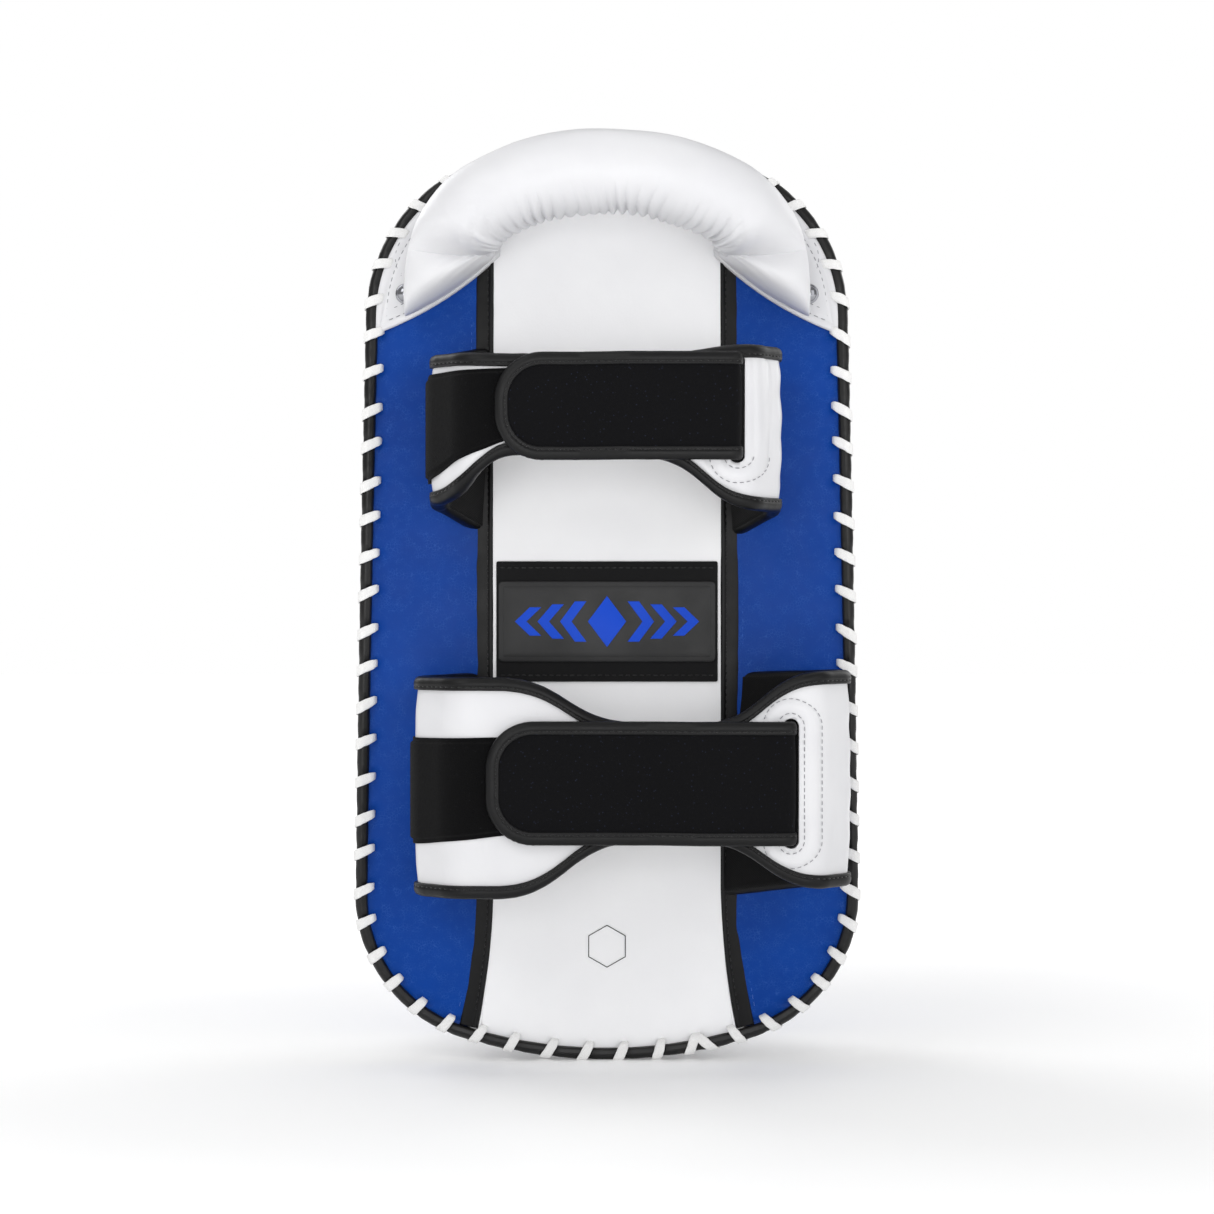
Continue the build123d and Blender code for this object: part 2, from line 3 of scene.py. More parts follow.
import bmesh
import bpy
import numpy as np
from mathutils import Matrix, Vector


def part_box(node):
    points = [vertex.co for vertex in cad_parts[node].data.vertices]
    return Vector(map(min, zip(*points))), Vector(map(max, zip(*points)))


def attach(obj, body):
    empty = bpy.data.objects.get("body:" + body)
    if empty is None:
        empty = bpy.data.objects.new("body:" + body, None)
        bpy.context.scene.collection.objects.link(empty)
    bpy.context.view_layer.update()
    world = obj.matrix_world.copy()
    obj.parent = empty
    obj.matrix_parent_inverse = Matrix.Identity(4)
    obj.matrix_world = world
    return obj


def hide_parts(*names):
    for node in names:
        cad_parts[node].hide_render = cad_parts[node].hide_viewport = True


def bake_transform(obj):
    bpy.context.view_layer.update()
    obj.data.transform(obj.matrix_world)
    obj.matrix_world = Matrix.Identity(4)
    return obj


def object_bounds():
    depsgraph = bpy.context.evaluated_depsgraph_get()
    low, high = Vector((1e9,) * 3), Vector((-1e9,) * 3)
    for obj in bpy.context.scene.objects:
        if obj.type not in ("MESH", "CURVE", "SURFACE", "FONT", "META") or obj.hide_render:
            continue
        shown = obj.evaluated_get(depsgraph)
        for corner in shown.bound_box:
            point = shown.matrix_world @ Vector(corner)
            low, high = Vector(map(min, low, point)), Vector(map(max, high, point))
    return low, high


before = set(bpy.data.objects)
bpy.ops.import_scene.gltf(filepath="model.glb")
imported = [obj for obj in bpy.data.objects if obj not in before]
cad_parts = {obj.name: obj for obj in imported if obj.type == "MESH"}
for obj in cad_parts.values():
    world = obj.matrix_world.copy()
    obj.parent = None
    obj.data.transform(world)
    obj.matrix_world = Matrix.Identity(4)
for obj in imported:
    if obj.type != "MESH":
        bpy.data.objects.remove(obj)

# A thai pad: the looks of every piece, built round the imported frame.
# The frame is in metres. Lengths below are in millimetres, and make() turns them into metres.
# Places on the padded body are given as a point of its outline or an (x, z) and a depth under the
# curved back surface, and places on a cuff or strap as a distance along its route and a height z.
cad_low, cad_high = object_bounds()

MM = 0.001
PAD = "pad"

# ---- the padded body's form, as in the CAD ----
pad_height = 430.0
half_width_low = 117.5
half_width_high = 112.5
corner_low = 70.0
corner_high = 77.0
end_radius = 225.0
foam_thickness = 92.0
leather = 1.8
curve_r = 1400.0
face_inset_side = 12.0
face_inset_end = 18.0
piping_width = 5.0
piping_proud = 4.4
lace_count = 68
seam_x = 57.0
seam_flare_z = 88.0
seam_foot_x = 71.0
seam_foot_z = 8.0
mid_z = pad_height / 2
wall_inset = piping_width / 2
back_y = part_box("back_panel_centre")[0].y / MM + leather     # the back surface at mid height
curve_y = back_y + curve_r

view_scene = bpy.context.scene
rng = np.random.default_rng(11)


# ---------------------------------------------------------------- shapes
def smoothstep(value, low=0.0, high=1.0):
    t = np.clip((np.asarray(value, float) - low) / (high - low), 0, 1)
    return t * t * (3 - 2 * t)


def bump(value, width):
    """A smooth hill of height 1 at value 0."""
    return np.exp(-((np.asarray(value, float) / width) ** 2))


def wander(*coordinates, seed=0, octaves=4):
    """Smooth unevenness between about -1 and 1, from a few crossing waves."""
    draw = np.random.default_rng(seed)
    total = 0.0
    for octave in range(octaves):
        scale = 1.7**octave
        phase = draw.uniform(0, 2 * pi)
        wave = phase
        for coordinate in coordinates:
            stretch = scale * draw.uniform(0.5, 1.2) * draw.choice([-1, 1])
            wave = wave + np.asarray(coordinate, float) * stretch
        total = total + np.sin(wave) / scale**0.7
    return total / 2.2


def run_along(points):
    """Distance along a line of points, from its first point."""
    return np.concatenate([[0.0], np.cumsum(np.linalg.norm(np.diff(points, axis=0), axis=1))])


def back_surface(z, depth=0.0):
    """y at a depth under the curved back surface."""
    return curve_y - np.sqrt((curve_r - np.asarray(depth, float)) ** 2 - (np.asarray(z, float) - mid_z) ** 2)


def half_outline(taper):
    """The right half of the body's outline, from the bottom centre up: x, z and the outward angle."""
    side = face_inset_side * taper
    bottom = face_inset_end * taper
    top = pad_height - bottom
    r_low = corner_low - side / 2
    r_high = corner_high - side / 2
    r_end = end_radius - side
    low_x = half_width_low - side - r_low
    high_x = half_width_high - side - r_high
    low_z = bottom + r_end - sqrt((r_end - r_low) ** 2 - low_x**2)
    high_z = top - r_end + sqrt((r_end - r_high) ** 2 - high_x**2)
    across, up = high_x - low_x, high_z - low_z
    lean = atan2(up, across) - acos((r_low - r_high) / hypot(across, up))
    foot = atan2(low_z - bottom - r_end, low_x)
    head = atan2(high_z - top + r_end, high_x)
    arcs = [(0, bottom + r_end, r_end, -pi / 2, foot), (low_x, low_z, r_low, foot, lean),
            (high_x, high_z, r_high, lean, head), (0, top - r_end, r_end, head, pi / 2)]
    parts = []
    for centre_x, centre_z, radius, start, end in arcs:
        angle = np.linspace(start, end, 120)
        x = centre_x + radius * np.cos(angle)
        z = centre_z + radius * np.sin(angle)
        parts.append(np.stack([x, z, angle], 1))
    return np.concatenate(parts)


def whole_outline(taper):
    """The body's outline all round. taper 0 is the back, and 1 is the smaller strike face."""
    right = half_outline(taper)
    left = right[::-1].copy()
    left[:, 0] *= -1
    left[:, 2] = pi - left[:, 2]
    return np.concatenate([right, left])


outline_back = whole_outline(0.0)
outline_face = whole_outline(1.0)
outline_run = run_along(outline_back[:, :2])
outline_length = outline_run[-1]


def edge_point(run, inset=0.0, depth=0.0):
    """Points on the padded body's edge: run along the outline from the bottom centre, counterclockwise
    as seen from the strap side, inset from the outline, at a depth under the back surface."""
    run = np.mod(np.asarray(run, float), outline_length)
    inset, depth = np.broadcast_arrays(np.asarray(inset, float) + 0 * run, np.asarray(depth, float) + 0 * run)
    near = [np.interp(run, outline_run, outline_back[:, column]) for column in range(3)]
    far = [np.interp(run, outline_run, outline_face[:, column]) for column in range(2)]
    taper = np.zeros_like(run)
    for _ in range(4):
        x = near[0] + (far[0] - near[0]) * taper - inset * np.cos(near[2])
        z = near[1] + (far[1] - near[1]) * taper - inset * np.sin(near[2])
        y = back_surface(z, depth)
        taper = np.clip((y - back_y) / foam_thickness, 0, 1.1) * (depth > 0)
    return np.stack([x, y, z], -1)


def outline_end_z(x, top, inset):
    """Height of the outline's lower or upper end at x."""
    right = half_outline(0.0)
    ring_x = right[:, 0] - inset * np.cos(right[:, 2])
    ring_z = right[:, 1] - inset * np.sin(right[:, 2])
    part = right[:, 2] > 0.3 if top else right[:, 2] < -0.2
    order = np.argsort(ring_x[part])
    return np.interp(np.abs(x), ring_x[part][order], ring_z[part][order])


def seam_line(z):
    """x of the seam beside the centre panel: straight, then flaring out at the foot."""
    drop = seam_flare_z + seam_foot_z
    reach = seam_foot_x - seam_x
    radius = (drop**2 + reach**2) / (2 * reach)
    below = np.clip(seam_flare_z - np.asarray(z, float), 0, drop)
    return seam_x + radius - np.sqrt(radius**2 - below**2)


# ---------------------------------------------------------------- meshes
def make(name, points, faces, material, smooth=True, uv=None):
    """An object from points in millimetres."""
    mesh = bpy.data.meshes.new(name)
    mesh.from_pydata((np.asarray(points, float) * MM).tolist(), [], faces)
    mesh.validate()
    if uv is not None:
        layer = mesh.uv_layers.new(name="flat")
        corners = np.zeros(len(mesh.loops), np.int32)
        mesh.loops.foreach_get("vertex_index", corners)
        layer.data.foreach_set("uv", np.asarray(uv, np.float32)[corners].ravel())
    thing = bpy.data.objects.new(name, mesh)
    view_scene.collection.objects.link(thing)
    if material is not None:
        mesh.materials.append(material)
    if smooth:
        mesh.polygons.foreach_set("use_smooth", np.ones(len(mesh.polygons), bool))
    return thing


def grid_faces(rows, columns, wrap_rows=False, wrap_columns=False, flip=False, first=0):
    """Faces of a grid of points, given row by row."""
    faces = []
    for row in range(rows if wrap_rows else rows - 1):
        for column in range(columns if wrap_columns else columns - 1):
            next_row = (row + 1) % rows
            next_column = (column + 1) % columns
            face = [row * columns + column, row * columns + next_column, next_row * columns + next_column,
                    next_row * columns + column]
            faces.append([first + index for index in (face[::-1] if flip else face)])
    return faces


def prism_faces(count):
    """Faces of a prism whose two rims have this many points each."""
    sides = [[index, (index + 1) % count, count + (index + 1) % count,
              count + index] for index in range(count)]
    return sides + [list(range(count))[::-1], list(range(count, 2 * count))]


def tidy_mesh(thing, merge=1e-6):
    """Merge points that coincide and make all faces look outwards."""
    shape = bmesh.new()
    shape.from_mesh(thing.data)
    bmesh.ops.remove_doubles(shape, verts=shape.verts, dist=merge)
    bmesh.ops.recalc_face_normals(shape, faces=shape.faces)
    shape.to_mesh(thing.data)
    shape.free()
    thing.data.update()
    return thing


def face_outwards(thing):
    """Make all faces look outwards, with the points left in their order."""
    shape = bmesh.new()
    shape.from_mesh(thing.data)
    bmesh.ops.recalc_face_normals(shape, faces=shape.faces)
    shape.to_mesh(thing.data)
    shape.free()


def apply_modifier(thing, kind, **settings):
    """Add a modifier, apply it and leave nothing of it behind."""
    modifier = thing.modifiers.new(kind.lower(), kind)
    for key, value in settings.items():
        setattr(modifier, key, value)
    bpy.context.view_layer.update()
    made = bpy.data.meshes.new_from_object(thing.evaluated_get(bpy.context.evaluated_depsgraph_get()))
    thing.modifiers.clear()
    thing.data = made
    return thing


def ring_sweep(name, rings, material, closed=True, caps=False, uv=None):
    """A surface through rings of points, each ring closed. rings is an array [stations, points, 3]."""
    stations, count = rings.shape[:2]
    faces = grid_faces(stations, count, wrap_rows=closed, wrap_columns=True)
    if caps:
        faces.append(list(range(count))[::-1])
        faces.append(list(range((stations - 1) * count, stations * count)))
    thing = make(name, rings.reshape(-1, 3), faces, material, uv=uv)
    return tidy_mesh(thing)


def stitch_shapes(starts, ends, normals, radius):
    """Rounded stitches, each arched between two points of a surface: points and faces."""
    sides = 6
    stations = [(0.0, 0.35, -0.6), (0.12, 0.9, 0.1), (0.5, 1.0, 0.55), (0.88, 0.9, 0.1), (1.0, 0.35, -0.6)]
    points = []
    faces = []
    for start, end, normal in zip(starts, ends, normals):
        along = end - start
        along = along / (np.linalg.norm(along) + 1e-9)
        across = np.cross(normal, along)
        first = len(points)
        for fraction, swell, rise in stations:
            middle = start + (end - start) * fraction + normal * (rise * radius)
            for side in range(sides):
                turn = 2 * pi * side / sides
                points.append(middle + radius * swell * (across * cos(turn) + normal * sin(turn)))
        faces += grid_faces(len(stations), sides, wrap_columns=True, first=first)
        faces.append([first + side for side in range(sides)][::-1])
        faces.append([first + (len(stations) - 1) * sides + side for side in range(sides)])
    return points, faces


def stitch_row(line, normals, pitch, length, radius):
    """Stitches along a line of points, at an even pitch."""
    line = np.asarray(line, float)
    run = run_along(line)
    count = max(1, int(run[-1] // pitch))
    starts = (np.arange(count) + 0.5) * run[-1] / count - length / 2
    at_run = lambda places, table: np.stack([np.interp(places, run, table[:, axis]) for axis in range(3)], 1)
    normals = np.asarray(normals, float)
    return stitch_shapes(at_run(starts, line), at_run(starts + length, line), at_run(starts, normals), radius)


def join_shapes(shapes):
    """Several (points, faces) as one."""
    points = []
    faces = []
    for shape_points, shape_faces in shapes:
        first = len(points)
        points += list(shape_points)
        faces += [[first + index for index in face] for face in shape_faces]
    return points, faces


def skin(thing, thickness, flip):
    """Turn an open skin to face the right way and give it its thickness, inwards."""
    if flip:
        thing.data.flip_normals()
    return apply_modifier(thing, "SOLIDIFY", thickness=thickness * MM, offset=-1.0)


def middle_normal(thing):
    faces = thing.data.polygons
    return faces[len(faces) // 2].normal


def dress(thing, body, slot, *nodes):
    """Put a finished piece on its body and hide the CAD nodes it stands for. The slot argument is not used.
    """
    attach(thing, body)
    if nodes:
        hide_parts(*nodes)
    return thing


# ---------------------------------------------------------------- materials
def colour(red, green, blue):
    """An sRGB colour, 0 to 255, as Blender's linear colour."""
    channels = []
    for value in (red, green, blue):
        share = value / 255
        channels.append(share / 12.92 if share <= 0.04045 else ((share + 0.055) / 1.055) ** 2.4)
    return (*channels, 1.0)


BLUE = colour(0, 63, 152)
BLUE_DEEP = colour(0, 54, 136)
BLUE_RIDGE = colour(48, 92, 172)
WHITE = colour(225, 225, 227)
WHITE_DIM = colour(216, 216, 219)
# painted light: the centre panel's white is set lighter than the white of the roll and cuffs, to offset the
# shade that the roll and straps cast on it
PANEL_WHITE_PAINTED_LIGHT = colour(250, 250, 251)
PANEL_DIM_PAINTED_LIGHT = colour(243, 243, 245)
PRINT_WHITE = colour(240, 241, 243)
BLACK = colour(8, 8, 9)
BLACK_DEEP = colour(5, 5, 6)
INK = colour(20, 20, 26)


def put(tree, kind, inputs=None, **settings):
    """A node with its settings; an input that is given a socket is linked, and else its value is set."""
    node = tree.nodes.new(kind)
    for key, value in settings.items():
        setattr(node, key, value)
    for key, value in (inputs or {}).items():
        if isinstance(value, bpy.types.NodeSocket):
            tree.links.new(value, node.inputs[key])
        else:
            node.inputs[key].default_value = value
    return node


def calc(tree, operation, *values, clamp=False):
    node = put(tree, "ShaderNodeMath", dict(enumerate(values)), operation=operation, use_clamp=clamp)
    return node.outputs[0]


def mix_colours(tree, factor, first, second):
    node = put(tree, "ShaderNodeMix", {0: factor, 6: first, 7: second}, data_type="RGBA")
    return node.outputs[2]


def spread(tree, value, low, high, to_low, to_high):
    node = put(tree, "ShaderNodeMapRange", {0: value, 1: low, 2: high, 3: to_low, 4: to_high})
    return node.outputs[0]


def place(tree):
    return put(tree, "ShaderNodeTexCoord").outputs["Object"]


def noise(tree, where, scale, detail=3.0, roughness=0.55):
    node = put(tree, "ShaderNodeTexNoise", {"Vector": where, "Scale": scale, "Detail": detail,
                                            "Roughness": roughness})
    return node.outputs["Fac"]


def cells(tree, where, scale, feature="F1"):
    node = put(tree, "ShaderNodeTexVoronoi", {"Vector": where, "Scale": scale}, feature=feature)
    return node.outputs["Distance"]


def start_material(name):
    material = bpy.data.materials.new(name)
    material.use_nodes = True
    tree = material.node_tree
    tree.nodes.clear()
    shader = put(tree, "ShaderNodeBsdfPrincipled")
    out = put(tree, "ShaderNodeOutputMaterial")
    tree.links.new(shader.outputs[0], out.inputs[0])
    return material, tree, shader


def surface_bump(tree, shader, height, strength, distance):
    node = put(tree, "ShaderNodeBump", {"Height": height, "Strength": strength, "Distance": distance})
    tree.links.new(node.outputs[0], shader.inputs["Normal"])


def leather_material(name, main, deep, roughness=0.42, grain=1100.0, depth=0.00012, paint=None, raised_tint=None,
                     specular=0.42, coat=0.06, ridge=None):
    """Grained leather: pebbles with fine pores, uneven colour and sheen, and an optional print."""
    material, tree, shader = start_material(name)
    where = place(tree)
    pebbles = cells(tree, where, grain, "SMOOTH_F1")
    pores = noise(tree, where, grain * 3.1, 2.0)
    broad = noise(tree, where, 14.0, 3.0)
    base = mix_colours(tree, spread(tree, broad, 0.35, 0.7, 0.0, 1.0), main, deep)
    base = mix_colours(tree, spread(tree, pebbles, 0.0, 0.6, 0.0, 0.1), base, deep)
    rough = spread(tree, noise(tree, where, 60.0, 4.0), 0.3, 0.7, roughness - 0.05, roughness + 0.07)
    if ridge is not None:
        # the light that catches the rims of the pebbles
        rims = spread(tree, cells(tree, where, 760.0, "DISTANCE_TO_EDGE"), 0.0, 0.09, 0.55, 0.0)
        lit = calc(tree, "MULTIPLY", rims, spread(tree, noise(tree, where, 240.0, 3.0), 0.42, 0.66, 0.0, 1.0))
        base = mix_colours(tree, lit, base, ridge)
    if raised_tint is not None:
        # slightly lighter where the surface stands out, on its edges and ridges
        edge = put(tree, "ShaderNodeNewGeometry").outputs["Pointiness"]
        base = mix_colours(tree, spread(tree, edge, 0.51, 0.58, 0.0, 0.5), base, raised_tint)
    if paint is not None:
        mask, ink = paint(tree, where)
        base = mix_colours(tree, mask, base, ink)
        rough = calc(tree, "SUBTRACT", rough, calc(tree, "MULTIPLY", mask, 0.04))
    tree.links.new(base, shader.inputs["Base Color"])
    tree.links.new(rough, shader.inputs["Roughness"])
    shader.inputs["Specular IOR Level"].default_value = specular
    shader.inputs["Coat Weight"].default_value = coat
    shader.inputs["Coat Roughness"].default_value = 0.32
    folds = noise(tree, where, 170.0, 3.0)
    height = calc(tree, "ADD", calc(tree, "MULTIPLY", pebbles, 0.7), calc(tree, "MULTIPLY", pores, 0.35))
    height = calc(tree, "ADD", height, calc(tree, "MULTIPLY", folds, 0.55))
    surface_bump(tree, shader, height, 0.32, depth)
    return material


def fabric_material(name, main, deep, pitch, roughness=0.75, sheen=0.3, depth=0.00015, fleck=None, along="X"):
    """Woven or knitted cloth: two crossing waves of thread with uneven fibre between them."""
    material, tree, shader = start_material(name)
    where = place(tree)
    parts = put(tree, "ShaderNodeSeparateXYZ", {"Vector": where}).outputs
    first = calc(tree, "SINE", calc(tree, "MULTIPLY", parts[along], 2 * pi / pitch))
    second = calc(tree, "SINE", calc(tree, "MULTIPLY", parts["Z"], 2 * pi / pitch))
    weave = calc(tree, "MULTIPLY", first, second)
    fibre = noise(tree, where, 2600.0, 3.0)
    # the fibre noise is the cloth's own uneven tone; the weave term darkens the low points of the weave,
    # following the bump, as painted shade
    weave_shade_and_fibre_tone = calc(tree, "ADD", calc(tree, "MULTIPLY", weave, 0.25), fibre)
    base = mix_colours(tree, spread(tree, weave_shade_and_fibre_tone, 0.2, 0.8, 0.0, 1.0), deep, main)
    if fleck is not None:
        dots = cells(tree, where, 420.0)
        base = mix_colours(tree, spread(tree, dots, 0.10, 0.16, 0.55, 0.0), base, fleck)
    tree.links.new(base, shader.inputs["Base Color"])
    rough = spread(tree, fibre, 0.3, 0.7, roughness - 0.06, roughness + 0.08)
    tree.links.new(rough, shader.inputs["Roughness"])
    shader.inputs["Sheen Weight"].default_value = sheen
    shader.inputs["Sheen Roughness"].default_value = 0.5
    shader.inputs["Specular IOR Level"].default_value = 0.14
    surface_bump(tree, shader, calc(tree, "ADD", calc(tree, "MULTIPLY", weave, 0.5), fibre), 0.5, depth)
    return material


def pile_material(name, main, lint, roughness=0.95, sheen=0.25, scale=1500.0, depth=0.0004):
    """Loop or hook tape: a dense pile with lint caught in it."""
    material, tree, shader = start_material(name)
    where = place(tree)
    loops = cells(tree, where, scale)
    tufts = noise(tree, where, scale * 1.6, 4.0)
    specks = noise(tree, where, 900.0, 1.0)
    base = mix_colours(tree, spread(tree, loops, 0.1, 0.6, 0.0, 0.7), main, BLACK_DEEP)
    base = mix_colours(tree, spread(tree, specks, 0.73, 0.77, 0.0, 0.5), base, lint)
    tree.links.new(base, shader.inputs["Base Color"])
    shader.inputs["Roughness"].default_value = roughness
    shader.inputs["Sheen Weight"].default_value = sheen
    shader.inputs["Sheen Roughness"].default_value = 0.6
    shader.inputs["Specular IOR Level"].default_value = 0.12
    surface_bump(tree, shader, calc(tree, "ADD", loops, tufts), 0.8, depth)
    return material


def metal_material(name, tint, roughness):
    """Polished metal with faint scratches and smears."""
    material, tree, shader = start_material(name)
    where = place(tree)
    smear = noise(tree, where, 300.0, 4.0)
    stretched = put(tree, "ShaderNodeMapping", {"Vector": where, "Scale": (400.0, 400.0, 9000.0)}).outputs[0]
    scratch = noise(tree, stretched, 1.0, 2.0)
    tree.links.new(spread(tree, smear, 0.3, 0.7, roughness, roughness + 0.1), shader.inputs["Roughness"])
    base = mix_colours(tree, spread(tree, smear, 0.4, 0.7, 0.0, 0.35), tint, colour(150, 150, 154))
    tree.links.new(base, shader.inputs["Base Color"])
    shader.inputs["Metallic"].default_value = 1.0
    surface_bump(tree, shader, scratch, 0.15, 0.00002)
    return material


def foam_material(name, main):
    material, tree, shader = start_material(name)
    where = place(tree)
    bubbles = cells(tree, where, 900.0)
    # painted shade: each bubble is darker towards its hollow middle, where the bump is lowest
    base = mix_colours(tree, spread(tree, bubbles, 0.0, 0.5, 0.0, 1.0), colour(60, 60, 62), main)
    tree.links.new(base, shader.inputs["Base Color"])
    shader.inputs["Roughness"].default_value = 0.95
    surface_bump(tree, shader, bubbles, 0.8, 0.0004)
    return material


# ---- prints ----
def inside(tree, value, limit, edge=0.00012):
    """1 where a distance is under the limit, with a narrow soft edge."""
    return spread(tree, value, limit - edge, limit + edge, 1.0, 0.0)


def band_between(tree, value, low, high):
    return calc(tree, "SUBTRACT", inside(tree, value, high), inside(tree, value, low))


def either(tree, *masks):
    total = masks[0]
    for mask in masks[1:]:
        total = calc(tree, "MAXIMUM", total, mask)
    return total


def both(tree, *masks):
    total = masks[0]
    for mask in masks[1:]:
        total = calc(tree, "MULTIPLY", total, mask)
    return total


target_z = 0.231
target_disc = 0.027
target_ring = (0.035, 0.054)
stripes_z = 0.343
stripes_half = (0.078, 0.024)
seal_centre = (-0.006, 0.073)
seal_half = (0.0145, 0.021)


def round_box(tree, x, z, centre, half, corner):
    """Signed distance to a rounded rectangle."""
    side, rise = (calc(tree, "SUBTRACT", calc(tree, "ABSOLUTE", calc(tree, "SUBTRACT", value, middle)),
                       reach - corner)
                  for value, middle, reach in zip((x, z), centre, half))
    out_side = calc(tree, "MAXIMUM", side, 0.0)
    out_rise = calc(tree, "MAXIMUM", rise, 0.0)
    out = calc(tree, "SQRT", calc(tree, "ADD", calc(tree, "POWER", out_side, 2.0),
                                  calc(tree, "POWER", out_rise, 2.0)))
    deep = calc(tree, "MINIMUM", calc(tree, "MAXIMUM", side, rise), 0.0)
    return calc(tree, "SUBTRACT", calc(tree, "ADD", out, deep), corner)


def distance_from(tree, x, z, centre):
    across = calc(tree, "POWER", calc(tree, "SUBTRACT", x, centre[0]), 2.0)
    along = calc(tree, "POWER", calc(tree, "SUBTRACT", z, centre[1]), 2.0)
    return calc(tree, "SQRT", calc(tree, "ADD", across, along))


def strike_print(tree, where):
    """The round target, a row of slanted stripes above it and a small plain seal below."""
    parts = put(tree, "ShaderNodeSeparateXYZ", {"Vector": where}).outputs
    x, z = parts["X"], parts["Z"]
    from_target = distance_from(tree, x, z, (0.0, target_z))
    target = either(tree, inside(tree, from_target, target_disc),
                    band_between(tree, from_target, *target_ring))
    reach = calc(tree, "ABSOLUTE", x)
    rise = calc(tree, "ABSOLUTE", calc(tree, "SUBTRACT", z, stripes_z))
    slant = calc(tree, "ADD", x, calc(tree, "MULTIPLY", calc(tree, "SUBTRACT", z, stripes_z), -0.5))
    step = calc(tree, "FRACT", calc(tree, "ADD", calc(tree, "MULTIPLY", slant, 1 / 0.0195), 0.5))
    bar = inside(tree, calc(tree, "ABSOLUTE", calc(tree, "SUBTRACT", step, 0.5)), 0.31, 0.008)
    tall = calc(tree, "SUBTRACT", stripes_half[1], calc(tree, "MULTIPLY", reach, 0.16))
    level = calc(tree, "SUBTRACT", rise, tall)
    groove = calc(tree, "ABSOLUTE", calc(tree, "SUBTRACT", rise, 0.0045))
    gap = calc(tree, "SUBTRACT", 1.0, inside(tree, groove, 0.0009))
    stripes = both(tree, bar, inside(tree, calc(tree, "ABSOLUTE", slant), stripes_half[0]),
                   inside(tree, level, 0.0),
                   gap)
    frame_edge = calc(tree, "ABSOLUTE", round_box(tree, x, z, seal_centre, seal_half, 0.003))
    from_seal = distance_from(tree, x, z, seal_centre)
    seal = either(tree, inside(tree, frame_edge, 0.00035), band_between(tree, from_seal, 0.0100, 0.0107),
                  band_between(tree, from_seal, 0.0068, 0.0090), inside(tree, from_seal, 0.0042))
    return either(tree, target, stripes, seal), PRINT_WHITE


def star_print(tree, _where):
    """Scattered small five-pointed stars and short dashes, on the gusset's own flat measure in mm."""
    flat = put(tree, "ShaderNodeUVMap", uv_map="flat").outputs[0]
    star_cell = 15.5
    star_out = 0.30
    star_in = 0.125
    masks = []
    for shift, size in ((0.0, 1.0), (7.3, 0.62)):
        moved = put(tree, "ShaderNodeMapping", {"Vector": flat, "Location": (shift, shift * 1.7, 0.0),
                                                "Scale": (1 / star_cell,) * 3}).outputs[0]
        seeds = put(tree, "ShaderNodeTexVoronoi", {"Vector": moved, "Scale": 1.0, "Randomness": 0.85},
                    voronoi_dimensions="2D")
        offset = put(tree, "ShaderNodeVectorMath", {0: moved, 1: seeds.outputs["Position"]},
                     operation="SUBTRACT")
        draw = put(tree, "ShaderNodeSeparateColor", {0: seeds.outputs["Color"]}).outputs
        parts = put(tree, "ShaderNodeSeparateXYZ", {"Vector": offset.outputs[0]}).outputs
        turned = calc(tree, "ADD", calc(tree, "ARCTAN2", parts["Y"], parts["X"]),
                      calc(tree, "MULTIPLY", draw[0], 2 * pi))
        fold = calc(tree, "PINGPONG", turned, pi / 5)
        away = put(tree, "ShaderNodeVectorMath", {0: offset.outputs[0]}, operation="LENGTH").outputs["Value"]
        grow = calc(tree, "MULTIPLY", calc(tree, "ADD", calc(tree, "MULTIPLY", draw[1], 0.35), 0.8), size)
        rim = calc(tree, "DIVIDE", star_out * star_in * sin(pi / 5),
                   calc(tree, "ADD", calc(tree, "MULTIPLY",
                                          calc(tree, "SINE", calc(tree, "SUBTRACT", pi / 5, fold)),
                                          star_in),
                        calc(tree, "MULTIPLY", calc(tree, "SINE", fold), star_out)))
        star = calc(tree, "LESS_THAN", away, calc(tree, "MULTIPLY", rim, grow))
        masks.append(both(tree, star, calc(tree, "GREATER_THAN", draw[2], 0.35)))
    return either(tree, *masks), INK


